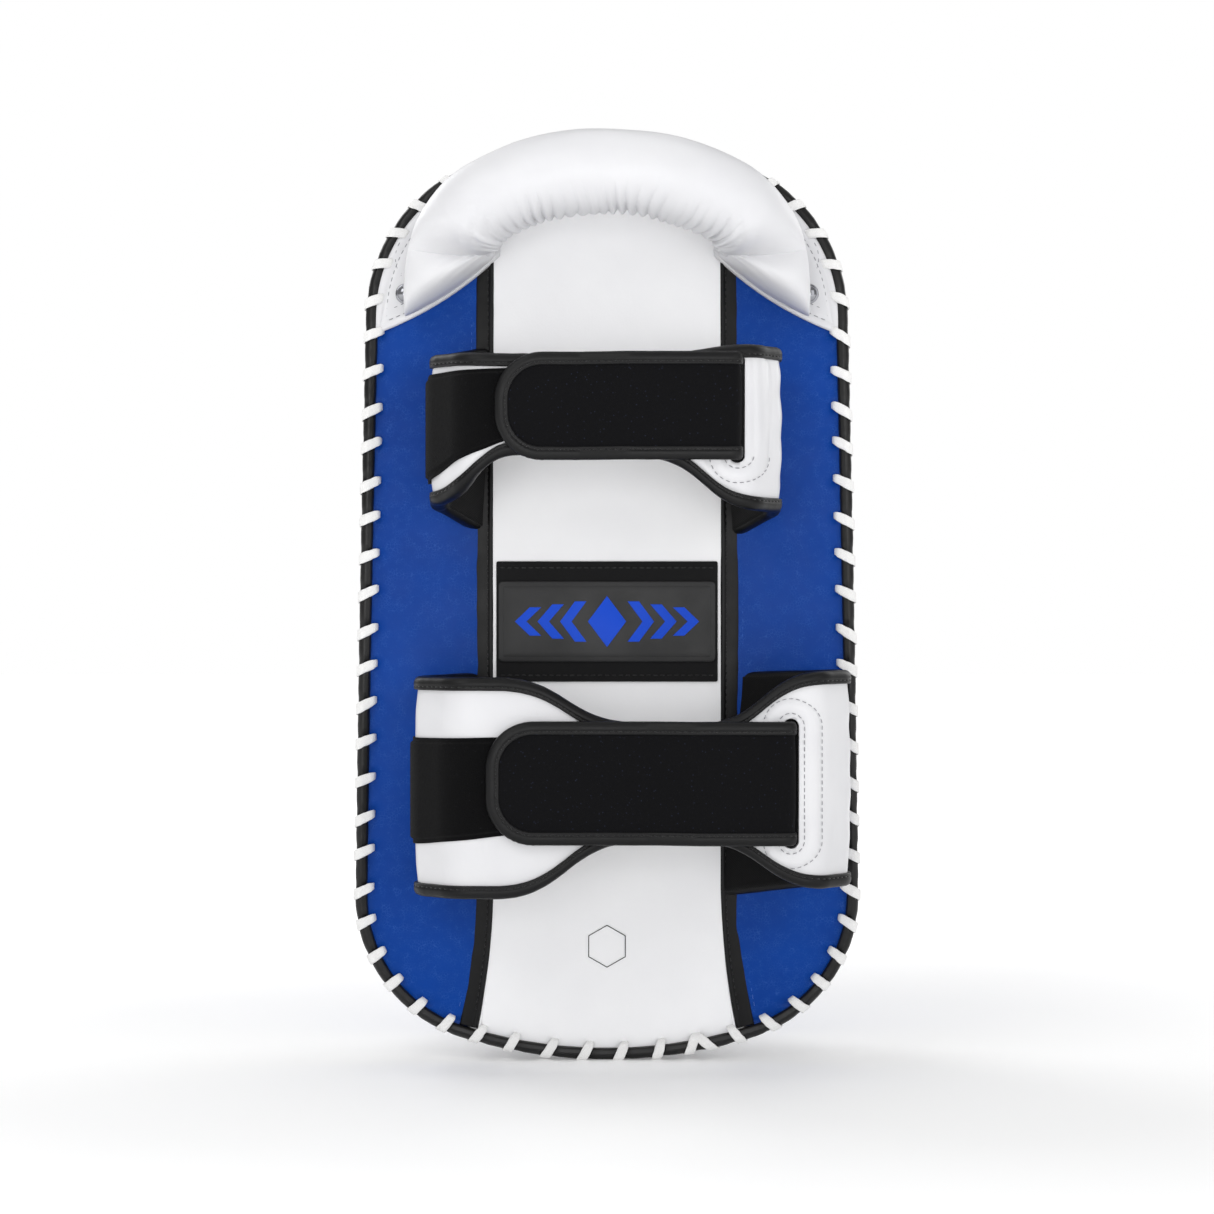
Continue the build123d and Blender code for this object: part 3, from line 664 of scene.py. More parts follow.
mat = {
    "blue": leather_material("blue_leather_grain", BLUE, BLUE_DEEP, roughness=0.40, specular=0.12, coat=0.0,
                             ridge=BLUE_RIDGE),
    "strike": leather_material("strike_leather_print", BLUE, BLUE_DEEP, roughness=0.38, paint=strike_print,
                               specular=0.12,
                               coat=0.0, ridge=BLUE_RIDGE),
    # the centre panel's leather, painted lighter to offset the shade it sits in
    "white": leather_material("panel_leather_painted_lighter", PANEL_WHITE_PAINTED_LIGHT, PANEL_DIM_PAINTED_LIGHT, roughness=0.45),
    "roll": leather_material("roll_leather_grain", WHITE, WHITE_DIM, roughness=0.42, grain=900.0),
    "cuff": leather_material("cuff_leather_grain", WHITE, WHITE_DIM, roughness=0.36, grain=1400.0,
                             depth=0.00008),
    "stars": leather_material("gusset_leather_stars", WHITE, WHITE_DIM, roughness=0.44, paint=star_print),
    "binding": leather_material("black_binding_grain", BLACK, BLACK_DEEP, roughness=0.42, grain=1500.0,
                                raised_tint=colour(28, 28, 29), specular=0.24, coat=0.0),
    "piping": leather_material("black_piping_grain", BLACK, BLACK_DEEP, roughness=0.36, grain=1500.0,
                               raised_tint=colour(48, 45, 42), specular=0.34, coat=0.02),
    "patch": fabric_material("patch_cloth", colour(14, 14, 16), BLACK_DEEP, 0.0009, roughness=0.7),
    "badge": leather_material("badge_rubber", colour(15, 15, 17), colour(10, 10, 12), roughness=0.5,
                              grain=2400.0,
                              depth=0.00005),
    "emblem": leather_material("emblem_rubber_blue", colour(0, 76, 214), colour(0, 66, 196), roughness=0.4,
                               specular=0.15,
                               coat=0.0,
                               grain=2400.0, depth=0.00005),
    "lace": fabric_material("lace_cord_white", colour(252, 252, 252), colour(228, 227, 225), 0.0007,
                            roughness=0.6, sheen=0.15, depth=0.0002),
    "neoprene": fabric_material("strap_neoprene", colour(10, 10, 13), colour(4, 4, 6), 0.0008, roughness=0.85,
                                sheen=0.02, fleck=colour(38, 42, 58)),
    "lining": fabric_material("lining_cloth", colour(13, 13, 14), BLACK_DEEP, 0.0011, roughness=0.8,
                              sheen=0.1),
    "webbing": fabric_material("webbing_black", colour(27, 27, 29), BLACK_DEEP, 0.0016, roughness=0.7,
                               sheen=0.1,
                               depth=0.0003),
    "loop": pile_material("loop_tape_pile", colour(4, 4, 5), colour(40, 40, 44), sheen=0.03, scale=2400.0,
                          depth=0.00025),
    "hook": pile_material("hook_tape_hooks", colour(30, 30, 32), colour(60, 60, 64), roughness=0.5,
                          sheen=0.05,
                          scale=700.0, depth=0.0006),
    "black_thread": fabric_material("thread_black", colour(14, 14, 15), colour(5, 5, 6), 0.0004,
                                    roughness=0.6),
    "grey_thread": fabric_material("thread_grey", colour(168, 168, 172), colour(120, 120, 126), 0.0004,
                                   roughness=0.6),
    "white_thread": fabric_material("thread_white", colour(235, 235, 238), colour(200, 200, 205), 0.0004,
                                    roughness=0.6),
    "blue_thread": fabric_material("thread_blue", colour(60, 110, 200), colour(20, 70, 160), 0.0004,
                                   roughness=0.6),
    "chrome": metal_material("rivet_chrome_polish", colour(150, 151, 156), 0.05),
    "steel": metal_material("rivet_steel_plain", colour(165, 165, 168), 0.3),
    "foam": foam_material("foam_cells", colour(104, 104, 108)),
    "mark": leather_material("mark_ink", colour(50, 50, 54), colour(38, 38, 42), roughness=0.5),
}


# ---------------------------------------------------------------- the padded body
EDGE_STITCH = (3.3, 2.3, 0.22)   # pitch, length and radius of each sort of stitch
FINE_STITCH = (3.4, 2.2, 0.2)
SLOT_STITCH = (3.0, 2.0, 0.2)
LABEL_STITCH = (3.2, 2.1, 0.24)


def thread(name, rows, material, slot):
    """Rows of stitches as one piece of the pad."""
    points, faces = join_shapes(rows)
    return dress(make(name, points, faces, mat[material]), PAD, slot)


hole_inset = 8.2                 # edge of the pad to the middle of a lace hole
hole_runs = (np.arange(lace_count) + 0.5) * outline_length / lace_count


def to_nearest_hole(run):
    """Distance along the edge to the nearest lace hole."""
    pitch = outline_length / lace_count
    phase = np.mod(np.asarray(run, float) - hole_runs[0], pitch)
    return np.minimum(phase, pitch - phase)


def skin_height(x, z, edge_distance, seam_distance, run):
    """How far a back panel stands over its stitched edges: soft crown, seam valleys, puckers, faint waves."""
    crown = 1.3 * (1 - np.exp(-edge_distance / 9)) + 0.5 * (1 - np.exp(-edge_distance / 45))
    valley = -0.7 * bump(seam_distance, 3.2)
    hole = to_nearest_hole(run)
    pucker = -1.0 * bump(hole, 2.6) * bump(edge_distance - (hole_inset - piping_width), 2.8)
    tension = 0.28 * np.cos(2 * pi * hole / (outline_length / lace_count)) * np.exp(-edge_distance / 8)
    waves = 0.22 * wander(x / 21, z / 34, seed=3) + 0.1 * wander(x / 8, z / 10, seed=4)
    return crown + valley + pucker + tension + waves * smoothstep(edge_distance, 2, 16)


def back_skin(name, side, material, slot, node):
    """One back panel, between the piping and its seam. side 0 is the centre panel."""
    margin = piping_width - 0.6
    if side == 0:
        columns, rows = 90, 260
        u = np.linspace(-1, 1, columns)[None, :]
        v = (0.5 - 0.5 * np.cos(np.linspace(0, pi, rows)))[:, None]
        x = u * seam_x + 0 * v
        z = mid_z + 0 * x
        for _ in range(6):
            low = outline_end_z(x, False, margin)
            high = outline_end_z(x, True, margin)
            z = low + (high - low) * (0.35 * v + 0.65 * np.linspace(0, 1, rows)[:, None])
            x = u * (seam_line(z) - 0.5)
        low = outline_end_z(x, False, margin)
        high = outline_end_z(x, True, margin)
        edge_distance = np.minimum(z - low, high - z)
        seam_distance = seam_line(z) - np.abs(x)
        top_run = outline_length / 2 - x
        run = np.where(z < mid_z, x, top_run)
        edge_distance = np.minimum(edge_distance, 60)
    else:
        columns, rows = 56, 420
        right_low = np.array([seam_foot_x - 1.5, outline_end_z(seam_foot_x - 1.5, False, margin)])
        right_high = np.array([seam_x, outline_end_z(seam_x, True, margin)])
        half = np.linspace(0, outline_length / 2, 4000)
        rim = edge_point(half, margin)
        start = half[np.argmin(np.hypot(rim[:, 0] - right_low[0], rim[:, 2] - right_low[1]))]
        end = half[np.argmin(np.hypot(rim[:, 0] - right_high[0], rim[:, 2] - right_high[1]))]
        run = np.linspace(start, end, rows)
        rim = edge_point(run, margin)
        seam_z = np.linspace(rim[0, 2], rim[-1, 2], rows)
        u = np.linspace(0, 1, columns)[None, :] ** 0.8
        x = (1 - u) * (seam_line(seam_z) - 0.5)[:, None] + u * rim[:, 0][:, None]
        z = (1 - u) * seam_z[:, None] + u * rim[:, 2][:, None]
        ring = half_outline(0.0)
        edge_distance = np.full(x.shape, 1e3)
        for step in range(0, len(ring), 2):
            gap = np.hypot(x - ring[step, 0] + margin * cos(ring[step, 2]),
                           z - ring[step, 1] + margin * sin(ring[step, 2]))
            edge_distance = np.minimum(edge_distance, gap)
        edge_distance[:, -1] = 0
        from_rim = (1 - u) * np.abs(rim[:, 0] - seam_line(seam_z))[:, None]
        edge_distance = np.minimum(edge_distance, from_rim)
        seam_distance = x - seam_line(z)
        run = run[:, None] + 0 * x
        x = x * side
        if side < 0:
            run = outline_length - run
    height = skin_height(x, z, edge_distance, seam_distance, run)
    y = back_surface(z) - leather - height + 0.4
    points = np.stack([x, y, z], -1).reshape(-1, 3)
    thing = make(name, points, grid_faces(rows, columns, flip=side < 0), material)
    skin(thing, leather, flip=middle_normal(thing).y > 0)
    return dress(thing, PAD, slot, node)


back_skin("back_skin_left", -1, mat["blue"], "blue_leather", "back_panel_left")
back_skin("back_skin_right", 1, mat["blue"], "blue_leather", "back_panel_right")
back_skin("back_skin_centre", 0, mat["white"], "white_leather", "back_panel_centre")


def seam_frame(z_values, side):
    """Points along a seam on the back surface, with the sideways direction towards the pad's middle."""
    x = seam_line(z_values)
    slope = np.gradient(x, z_values)
    length = np.hypot(1, slope)
    inward = np.stack([-side / length, 0 * x, slope / length], 1)
    spine = np.stack([side * x, back_surface(z_values), z_values], 1)
    return spine, inward


def seam_binding(name, side, node):
    """The flat black tape over a back seam, with its raised rib and both rows of thread."""
    low = outline_end_z(seam_foot_x, False, piping_width) - 1.0
    high = outline_end_z(seam_x, True, piping_width) + 1.0
    z_values = np.linspace(low, high, 420)
    spine, inward = seam_frame(z_values, side)
    # offset towards the middle of the pad, height over the back surface
    profile = np.array([(-4.5, 0.9), (-4.45, 2.2), (-4.1, 2.75), (-3.2, 2.95), (-1.0, 3.0), (0.9, 2.95),
                        (1.35, 2.84), (1.7, 2.88), (2.0, 3.25), (2.6, 3.62), (3.3, 3.6), (3.9, 3.2),
                        (4.2, 2.5), (4.25, 0.9)])
    ripple = 0.12 * wander(z_values / 9, seed=20 + side)
    rings = np.zeros((len(z_values), len(profile), 3))
    for index, (offset, height) in enumerate(profile):
        rings[:, index] = spine + inward * offset
        rings[:, index, 1] -= height + ripple * (height > 2.4)
    tape = ring_sweep(name, rings, mat["binding"], closed=False, caps=True)
    dress(tape, PAD, "black_binding", node)
    rows = []
    for offset, height, pitch, radius in ((1.55, 2.9, 3.3, 0.22), (-6.2, 2.6, 3.6, 0.16)):
        line = spine + inward * offset
        line[:, 1] -= height
        keep = slice(8, -8)
        normals = np.tile([0, -1.0, 0], (len(line[keep]), 1))
        rows.append(stitch_row(line[keep], normals, pitch, pitch * 0.62, radius))
    thread(name + "_stitches", rows[:1], "black_thread", "black_binding")
    thread(name + "_outer_thread", rows[1:], "blue_thread", "blue_leather")
    line = spine + inward * 4.75
    line[:, 1] -= 2.35
    fold = np.array([(-0.5, 0.0), (-0.3, 0.35), (0.1, 0.45), (0.5, 0.2), (0.7, -0.3), (0.0, -0.6)])
    rings = np.zeros((len(z_values), len(fold), 3))
    for index, (offset, height) in enumerate(fold):
        rings[:, index] = line + inward * offset
        rings[:, index, 1] -= height
    dress(ring_sweep(name + "_white_fold", rings, mat["white"], closed=False, caps=True), PAD,
          "white_leather")


seam_binding("seam_tape_left", -1, "binding_left")
seam_binding("seam_tape_right", 1, "binding_right")


# ---- patch and badge on the centre panel ----
label_low, label_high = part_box("label_base")
badge_low, badge_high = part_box("label_badge")
label_centre_z = (label_low.z + label_high.z) / 2 / MM


def rounded_rectangle(half_x, half_z, corner, per_corner=6):
    """Outline points of a rounded rectangle round the label's centre."""
    points = []
    for quarter, (sign_x, sign_z) in enumerate([(1, 1), (-1, 1), (-1, -1), (1, -1)]):
        for step in range(per_corner + 1):
            angle = pi / 2 * (quarter + step / per_corner)
            points.append((sign_x * (half_x - corner) + corner * cos(angle),
                           label_centre_z + sign_z * (half_z - corner) + corner * sin(angle)))
    return np.array(points)


def plate(name, border, depth, thickness, material, slot, node, bevel=0.4, body=PAD):
    """A flat shape laid on the back surface, with rounded edges. It bends with the surface."""
    middle = border.mean(0)
    levels = [(1.0, 0.0, 0.0), (1.0, 0.0, thickness - bevel), (1.0, -0.35 * bevel, thickness - 0.2 * bevel),
              (1.0, -bevel, thickness), (0.85, -bevel, thickness), (0.6, -bevel, thickness),
              (0.3, -bevel, thickness)]
    normals = border - np.roll(border, 1, 0) + np.roll(border, -1, 0) - border
    normals = np.stack([normals[:, 1], -normals[:, 0]], 1) / np.linalg.norm(normals, axis=1)[:, None]
    rings = []
    for scale, shift, rise in levels:
        flat = middle + (border + normals * shift - middle) * scale
        rings.append(np.stack([flat[:, 0], back_surface(flat[:, 1]) - depth - rise, flat[:, 1]], 1))
    rings.append(np.tile([middle[0], back_surface(middle[1]) - depth - thickness, middle[1]],
                         (len(border), 1)))
    rings = np.array(rings)
    count = len(border)
    faces = grid_faces(len(rings), count, wrap_columns=True)
    faces.append(list(range(count)))
    thing = make(name, rings.reshape(-1, 3), faces, material)
    tidy_mesh(thing)
    dress(thing, body, slot, *([node] if node else []))
    return thing


def resample(border, spacing):
    """The same closed outline with points at most this far apart."""
    points = []
    for start, end in zip(border, np.roll(border, -1, 0)):
        steps = max(1, ceil(np.linalg.norm(end - start) / spacing))
        points += [start + (end - start) * step / steps for step in range(steps)]
    return np.array(points)


label_half_x = (label_high.x - label_low.x) / 2 / MM
label_half_z = (label_high.z - label_low.z) / 2 / MM
patch_border = resample(rounded_rectangle(label_half_x, label_half_z, 0.8, 2), 3)
plate("label_patch", patch_border, 3.2, 1.1, mat["patch"], "patch_fabric", "label_base")
badge_half_x = (badge_high.x - badge_low.x) / 2 / MM
badge_half_z = (badge_high.z - badge_low.z) / 2 / MM
plate("badge_plate", resample(rounded_rectangle(badge_half_x, badge_half_z, 2.0), 3), 4.25, 1.15,
      mat["badge"],
      "badge_rubber", "label_badge")
plate("badge_frame_inner", resample(rounded_rectangle(badge_half_x - 2.2, badge_half_z - 2.2, 1.2), 3), 5.35,
      0.16,
      mat["badge"], "badge_rubber", None, bevel=0.1)

patch_rows = []
for row_z in (label_centre_z - label_half_z + 3.0, label_centre_z + label_half_z - 3.0):
    row_x = np.linspace(-label_half_x + 1.5, label_half_x - 1.5, 60)
    row = np.stack([row_x, back_surface(row_z + 0 * row_x) - 4.32, row_z + 0 * row_x], 1)
    patch_rows.append(stitch_row(row, np.tile([0, -1.0, 0], (len(row), 1)), *LABEL_STITCH))
thread("label_stitches", patch_rows, "black_thread", "patch_fabric")


def emblem_shapes():
    """A plain emblem: a diamond in the middle, three chevrons each side and a bar under each row."""
    shapes = [np.array([(0, 12), (-9, 0), (0, -12), (9, 0)], float)]
    for side in (-1, 1):
        for index in range(3):
            start = 13 + index * 10.5
            half = 9.5 - index * 1.4
            width = 5.4
            shapes.append(np.array([(side * (start - 3.5), half), (side * (start - 3.5 + width), half),
                                    (side * (start + 3.5 + width), 0), (side * (start - 3.5 + width), -half),
                                    (side * (start - 3.5), -half), (side * (start + 3.5), 0)], float))
    return shapes


def raised_polygon(border, depth, rise):
    """A small raised shape of the emblem, with a slightly sloping edge."""
    count = len(border)
    middle = border.mean(0)
    points = []
    for shrink, height in ((1.0, 0.0), (0.98, rise)):
        for x, z in middle + (border - middle) * shrink:
            points.append((x, back_surface(z + label_centre_z) - depth - height, z + label_centre_z))
    return points, prism_faces(count)


points, faces = join_shapes([raised_polygon(shape, 5.3, 0.55) for shape in emblem_shapes()])
emblem = make("badge_emblem", points, faces, mat["emblem"], smooth=False)
dress(tidy_mesh(emblem, 1e-7), PAD, "badge_rubber")


def size_mark():
    """A thin hexagon printed on the foot of the centre panel."""
    centre_z = 54.0
    reach = 9.9
    line = 0.24
    points = []
    for radius in (reach - line, reach + line):
        for level in (0.0, 0.1):
            for corner in range(6):
                angle = radians(60 * corner + 30)
                x = radius * cos(angle)
                z = centre_z + radius * sin(angle)
                points.append((x, back_surface(z) - 3.28 - level, z))
    faces = []
    for corner in range(6):
        after = (corner + 1) % 6
        for low, high in ((0, 6), (6, 18), (18, 12), (12, 0)):
            faces.append([low + corner, low + after, high + after, high + corner])
    mark = make("size_mark", points, faces, mat["mark"], smooth=False)
    dress(tidy_mesh(mark, 1e-7), PAD, "white_leather")


size_mark()


# ---- edge piping and the lace over it ----
def edge_frame(run):
    """Position on the edge, outward direction and direction of travel, at the back surface."""
    spot = edge_point(run)
    ahead = edge_point(np.asarray(run) + 0.5)
    behind = edge_point(np.asarray(run) - 0.5)
    along = ahead - behind
    along /= np.linalg.norm(along, axis=-1)[..., None]
    outward = np.cross(np.array([0, 1.0, 0]), along)
    return spot, outward / np.linalg.norm(outward, axis=-1)[..., None], along


def piping_bead():
    per_lace = 18
    run = np.arange(lace_count * per_lace) * outline_length / (lace_count * per_lace)
    spot, outward, _ = edge_frame(run)
    hole = to_nearest_hole(run)
    squeeze = bump(hole, 2.6)
    # inset from the edge, height over the back surface
    profile = np.array([(5.6, 0.6), (5.35, 2.6), (4.9, 3.55), (4.3, 3.95), (3.6, 4.05), (3.1, 4.3),
                        (2.5, 4.4),
                        (1.8, 4.3), (1.3, 3.95), (0.8, 3.6), (0.2, 2.9), (-0.15, 1.9), (0.0, 0.7),
                        (0.7, -0.6),
                        (2.6, -1.0)])
    uneven = 0.16 * wander(run / 6.0, seed=31) + 0.1 * wander(run / 2.3, seed=32)
    rings = np.zeros((len(run), len(profile), 3))
    for index, (inset, height) in enumerate(profile):
        rise = height * (1 - 0.16 * squeeze) + uneven * (height > 3)
        move = inset + (0.35 * squeeze + uneven * 0.6) * (1 if inset < 2.5 else -0.7) * (height > 1)
        rings[:, index] = spot - outward * move[:, None]
        rings[:, index, 1] = back_surface(rings[:, index, 2]) - rise
    bead = ring_sweep("edge_piping_roll", rings, mat["piping"])
    dress(bead, PAD, "black_binding", "edge_piping")


piping_bead()
lace_clearance = 0.02            # the lowest turns just clear the floor
v_run = 51.0                     # where the lace's two ends share one hole
lean_angles = [-90, -60, -30, 0, 30, 60, 90]
lean_right = [0.62, 0.45, -0.15, -0.62, -0.6, -0.45, 0.1]
lean_left = [-0.5, -0.3, 0.12, 0.5, 0.5, 0.4, -0.1]


def lace_turn(run, lean, seed):
    """One turn: out of its hole, over the piping, round the edge and into the gusset."""
    draw = np.random.default_rng(seed)
    # inset, height over the back surface, half width, share of the sideways lean
    stations = [(8.3, 0.6, 1.5, -0.04), (8.1, 2.6, 1.75, -0.02), (7.6, 3.9, 1.95, 0.02), (6.7, 4.6, 2.1, 0.1),
                (5.4, 5.0, 2.2, 0.26), (3.9, 5.3, 2.3, 0.44), (2.4, 5.5, 2.3, 0.62), (1.0, 5.0, 2.45, 0.8),
                (-0.25, 3.7, 2.5, 0.95), (-0.7, 1.8, 2.4, 1.08), (-0.55, -0.4, 2.2, 1.18),
                (0.4, -2.4, 2.0, 1.24),
                (1.8, -4.2, 1.7, 1.28), (3.6, -5.4, 1.4, 1.3), (5.0, -5.6, 1.1, 1.3)]
    thickness = 0.55
    reach = 7.5
    sides = 10
    rings = []
    twist = draw.uniform(-0.12, 0.12)
    centres = []
    for inset, height, half, share in stations:
        spot, outward, along = edge_frame(run + lean * reach * share)
        centre = spot - outward * inset
        centre[1] = back_surface(centre[2]) - height
        centres.append((centre, along, half * (1 + draw.uniform(-0.05, 0.05))))
    path = np.array([centre for centre, _, _ in centres])
    heading = np.gradient(path, axis=0)
    for (centre, along, half), direction in zip(centres, heading):
        direction = direction / np.linalg.norm(direction)
        across = along - direction * np.dot(along, direction)
        across /= np.linalg.norm(across)
        up = np.cross(direction, across)
        ring = []
        for side in range(sides):
            turn = 2 * pi * side / sides
            wide = np.sign(cos(turn)) * abs(cos(turn)) ** 0.7 * half
            tall = np.sign(sin(turn)) * abs(sin(turn)) ** 0.8 * thickness * (1 + 0.25 * cos(2 * turn))
            ring.append(centre + across * (wide + twist * tall) + up * tall)
        rings.append(ring)
    rings = np.array(rings)
    fine = np.linspace(0, len(rings) - 1, 34)
    smooth = np.stack([catmull(rings, place_at) for place_at in fine])
    count = len(smooth)
    faces = grid_faces(count, sides, wrap_columns=True)
    faces += [list(range(sides))[::-1], list(range((count - 1) * sides, count * sides))]
    return smooth.reshape(-1, 3), faces


def catmull(table, where):
    """A smooth value between the rows of a table."""
    low = int(min(max(np.floor(where), 0), len(table) - 2))
    t = where - low
    before = table[max(low - 1, 0)]
    after = table[min(low + 2, len(table) - 1)]
    start, end = table[low], table[low + 1]
    return 0.5 * (2 * start + (end - before) * t + (2 * before - 5 * start + 4 * end - after) * t**2
                  + (3 * start - before - 3 * end + after) * t**3)


def lace_lean(run):
    """How far each turn leans along the edge: outward and down, split at the two ends' shared hole."""
    angle = np.interp(run, outline_run, outline_back[:, 2])
    if run < outline_length / 2:
        if run < v_run:
            return -0.5
        return float(np.interp(np.degrees(angle), lean_angles, lean_right))
    return float(np.interp(180 - np.degrees(angle), lean_angles, lean_left))


def lace():
    turns = []
    for index, run in enumerate(hole_runs):
        uneven = rng.normal(0, 0.55)
        turns.append(lace_turn(run + uneven, lace_lean(run) * rng.uniform(0.85, 1.15), index))
    nearest = hole_runs[np.argmin(np.abs(hole_runs - v_run))]
    turns.append(lace_turn(nearest + 1.0, 0.85, 900))
    points, faces = join_shapes(turns)
    points = np.array(points)
    points[:, 2] = np.maximum(points[:, 2], lace_clearance)
    thing = tidy_mesh(make("lace_turns", points, faces, mat["lace"]), 1e-7)
    dress(thing, PAD, "white_lace", "edge_lace")


lace()


# ---------------------------------------------------------------- strike face, gusset and foam
seam_depth = 83.0                # where the strike face's leather meets the gusset
edge_r = 11.0                    # roundness of the strike face's edge
face_depth = foam_thickness + leather
spine_margin_low = 105.0         # the face's inner rings shrink to a line between these margins
spine_margin_high = 112.0
gusset_bulge = 2.4
foam_gap = 0.6
foam_start_depth = 72.0


def dome_face(name, inset, deep, rounding, crown, start_depth, material):
    """The padded face: a side that turns over a rounded edge into a gently crowned front."""
    around = 480
    run = np.arange(around) * outline_length / around
    levels = [(inset + 0.7, start_depth - 1.4), (inset + 0.1, start_depth - 0.6),
              (inset - 0.35, start_depth + 0.4)]
    for turn in np.linspace(0, 1, 12):
        angle = turn * pi / 2
        levels.append((inset - 0.4 + rounding * (1 - cos(angle)), deep - rounding * (1 - sin(angle))))
    rings = [edge_point(run, level_inset, depth) for level_inset, depth in levels]
    last = rings[-1]
    spine_low, spine_high = spine_margin_low, pad_height - spine_margin_high
    middle = np.stack([0 * run, 0 * run, np.clip(last[:, 2], spine_low, spine_high)], 1)
    steps = 46
    for step in range(1, steps + 1):
        share = (step / steps) ** 0.85
        flat = last + (middle - last) * share
        rise = crown * (1 - (1 - share) ** 2.4)
        soft = 0.18 * wander(flat[:, 0] / 26, flat[:, 2] / 38, seed=41) * smoothstep(share, 0, 0.2)
        flat[:, 1] = back_surface(flat[:, 2], deep) + rise + soft
        rings.append(flat)
    rings = np.array(rings)
    thing = make(name, rings.reshape(-1, 3), grid_faces(len(rings), around, wrap_columns=True), material)
    return thing


face = dome_face("strike_skin", wall_inset, face_depth, edge_r, 2.2, seam_depth, mat["strike"])
skin(tidy_mesh(face), leather, flip=False)
dress(face, PAD, "blue_leather", "strike_face")

front_foam = dome_face("impact_foam", wall_inset + leather + foam_gap, foam_thickness - foam_gap, edge_r - 2,
                       1.6,
                       foam_start_depth, mat["foam"])
rim = front_foam.data
shape = bmesh.new()
shape.from_mesh(rim)
bmesh.ops.remove_doubles(shape, verts=shape.verts, dist=1e-6)
bmesh.ops.holes_fill(shape, edges=[edge for edge in shape.edges if edge.is_boundary], sides=0)
bmesh.ops.triangulate(shape, faces=[side for side in shape.faces if len(side.verts) > 4])
bmesh.ops.recalc_face_normals(shape, faces=shape.faces)
shape.to_mesh(rim)
shape.free()
dress(front_foam, PAD, "foam", "foam_impact")


def gusset(name, side, node):
    """Half of the printed side band, with seams at its two ends and soft bulges between the lace holes."""
    around, levels = 420, 44
    reach = outline_length / 2
    along = np.linspace(0.0, reach, around)
    run = along if side > 0 else outline_length - along
    down = np.linspace(0, 1, levels)
    seam = 0.9 * bump(along, 2.0) + 0.9 * bump(along - reach, 2.0)
    rings = []
    flat = []
    for share in down:
        depth = -0.4 + (seam_depth + 0.6) * share
        bulge = gusset_bulge * (4 * share * (1 - share)) ** 0.7
        rolled = -1.3 * bump(1 - share, 0.03)
        hole = to_nearest_hole(run)
        lace_pull = -0.9 * bump(depth - 6.0, 4.0) * bump(hole, 3.2)
        creases = 0.45 * wander(along / 12, depth / 16 + 0 * along, seed=51) * (4 * share * (1 - share))
        inset = wall_inset - bulge - rolled - lace_pull - creases + seam
        rings.append(edge_point(run, inset, depth))
        flat.append(np.stack([along * side + 500, depth + 0 * along], 1))
    points = np.array(rings).reshape(-1, 3)
    thing = make(name, points, grid_faces(levels, around), mat["stars"], uv=np.array(flat).reshape(-1, 2))
    skin(thing, leather, flip=middle_normal(thing).x * side < 0)
    dress(thing, PAD, "printed_leather", node)
    rows = []
    line = edge_point(run, wall_inset - 0.35, seam_depth - 3.2)
    normals = edge_frame(run)[1]
    rows.append(stitch_row(line, normals, *FINE_STITCH))
    for place_run in (0.0, reach):
        depths = np.linspace(6, seam_depth - 5, 60)
        share = depths / seam_depth
        offset = (place_run - 2.6 * (1 if place_run else -1)) * side
        bulge = gusset_bulge * (4 * share * (1 - share)) ** 0.7
        line = edge_point(0 * depths + offset, wall_inset - bulge - 0.05, depths)
        normals = edge_frame(0 * depths + offset)[1]
        rows.append(stitch_row(line, normals, *FINE_STITCH))
    thread(name + "_stitches", rows, "white_thread", "printed_leather")


gusset("gusset_left", -1, "side_wall_left")
gusset("gusset_right", 1, "side_wall_right")


# ---------------------------------------------------------------- the grip roll
roll_r = 20.5
roll_crown_r = 110.0
roll_crown_half = 53.0
roll_shoulder_r = 32.0
roll_foot_turn = radians(80.0)
roll_foot_run = 18.0
roll_foot_standoff = 19.0
finger_gap = 26.0
foot_x = 73.2                    # middle and half width of the flap that a foot ends in
foot_half_width = 21.0
foot_blend = (38.0, 4.0)         # distances from the end where the round roll turns into the flap
foot_length = 19.0
foot_bulge = 33.0
flap_thickness = 1.5
core_r = 15.0
core_end = 33.0                  # how far the core stops short of the roll's ends
tab_thickness = 3.1
tab_leather = 1.4
tab_rise = ((-114.0, 338.0), (-86.0, 350.0), (-52.0, 375.0))
roll_crown_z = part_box("roll_cover")[1].z / MM - roll_r * 0.985


def roll_route(count):
    """The roll's middle line in its own sloping plane: sideways, down, and the direction of travel."""
    crown_turn = asin(roll_crown_half / roll_crown_r)
    shoulder_x = (roll_crown_r - roll_shoulder_r) * sin(crown_turn)
    shoulder_drop = roll_crown_r - (roll_crown_r - roll_shoulder_r) * cos(crown_turn)
    angles = np.linspace(0, crown_turn, 60)
    side = list(roll_crown_r * np.sin(angles))
    drop = list(roll_crown_r - roll_crown_r * np.cos(angles))
    turn = list(angles)
    angles = np.linspace(crown_turn, roll_foot_turn, 60)[1:]
    side += list(shoulder_x + roll_shoulder_r * np.sin(angles))
    drop += list(shoulder_drop - roll_shoulder_r * np.cos(angles))
    turn += list(angles)
    run = np.linspace(0, roll_foot_run + 4.0, 20)[1:]
    foot_side, foot_drop = side[-1], drop[-1]
    side += list(foot_side + run * cos(roll_foot_turn))
    drop += list(foot_drop + run * sin(roll_foot_turn))
    turn += [roll_foot_turn] * len(run)
    side, drop, turn = (np.array(values) for values in (side, drop, turn))
    side = np.concatenate([-side[:0:-1], side])
    drop = np.concatenate([drop[:0:-1], drop])
    turn = np.concatenate([-turn[:0:-1], turn])
    length = run_along(np.stack([side, drop], 1))
    places = np.linspace(0, length[-1], count)
    return (np.interp(places, length, side), np.interp(places, length, drop), np.interp(places, length, turn),
            places - length[-1] / 2)


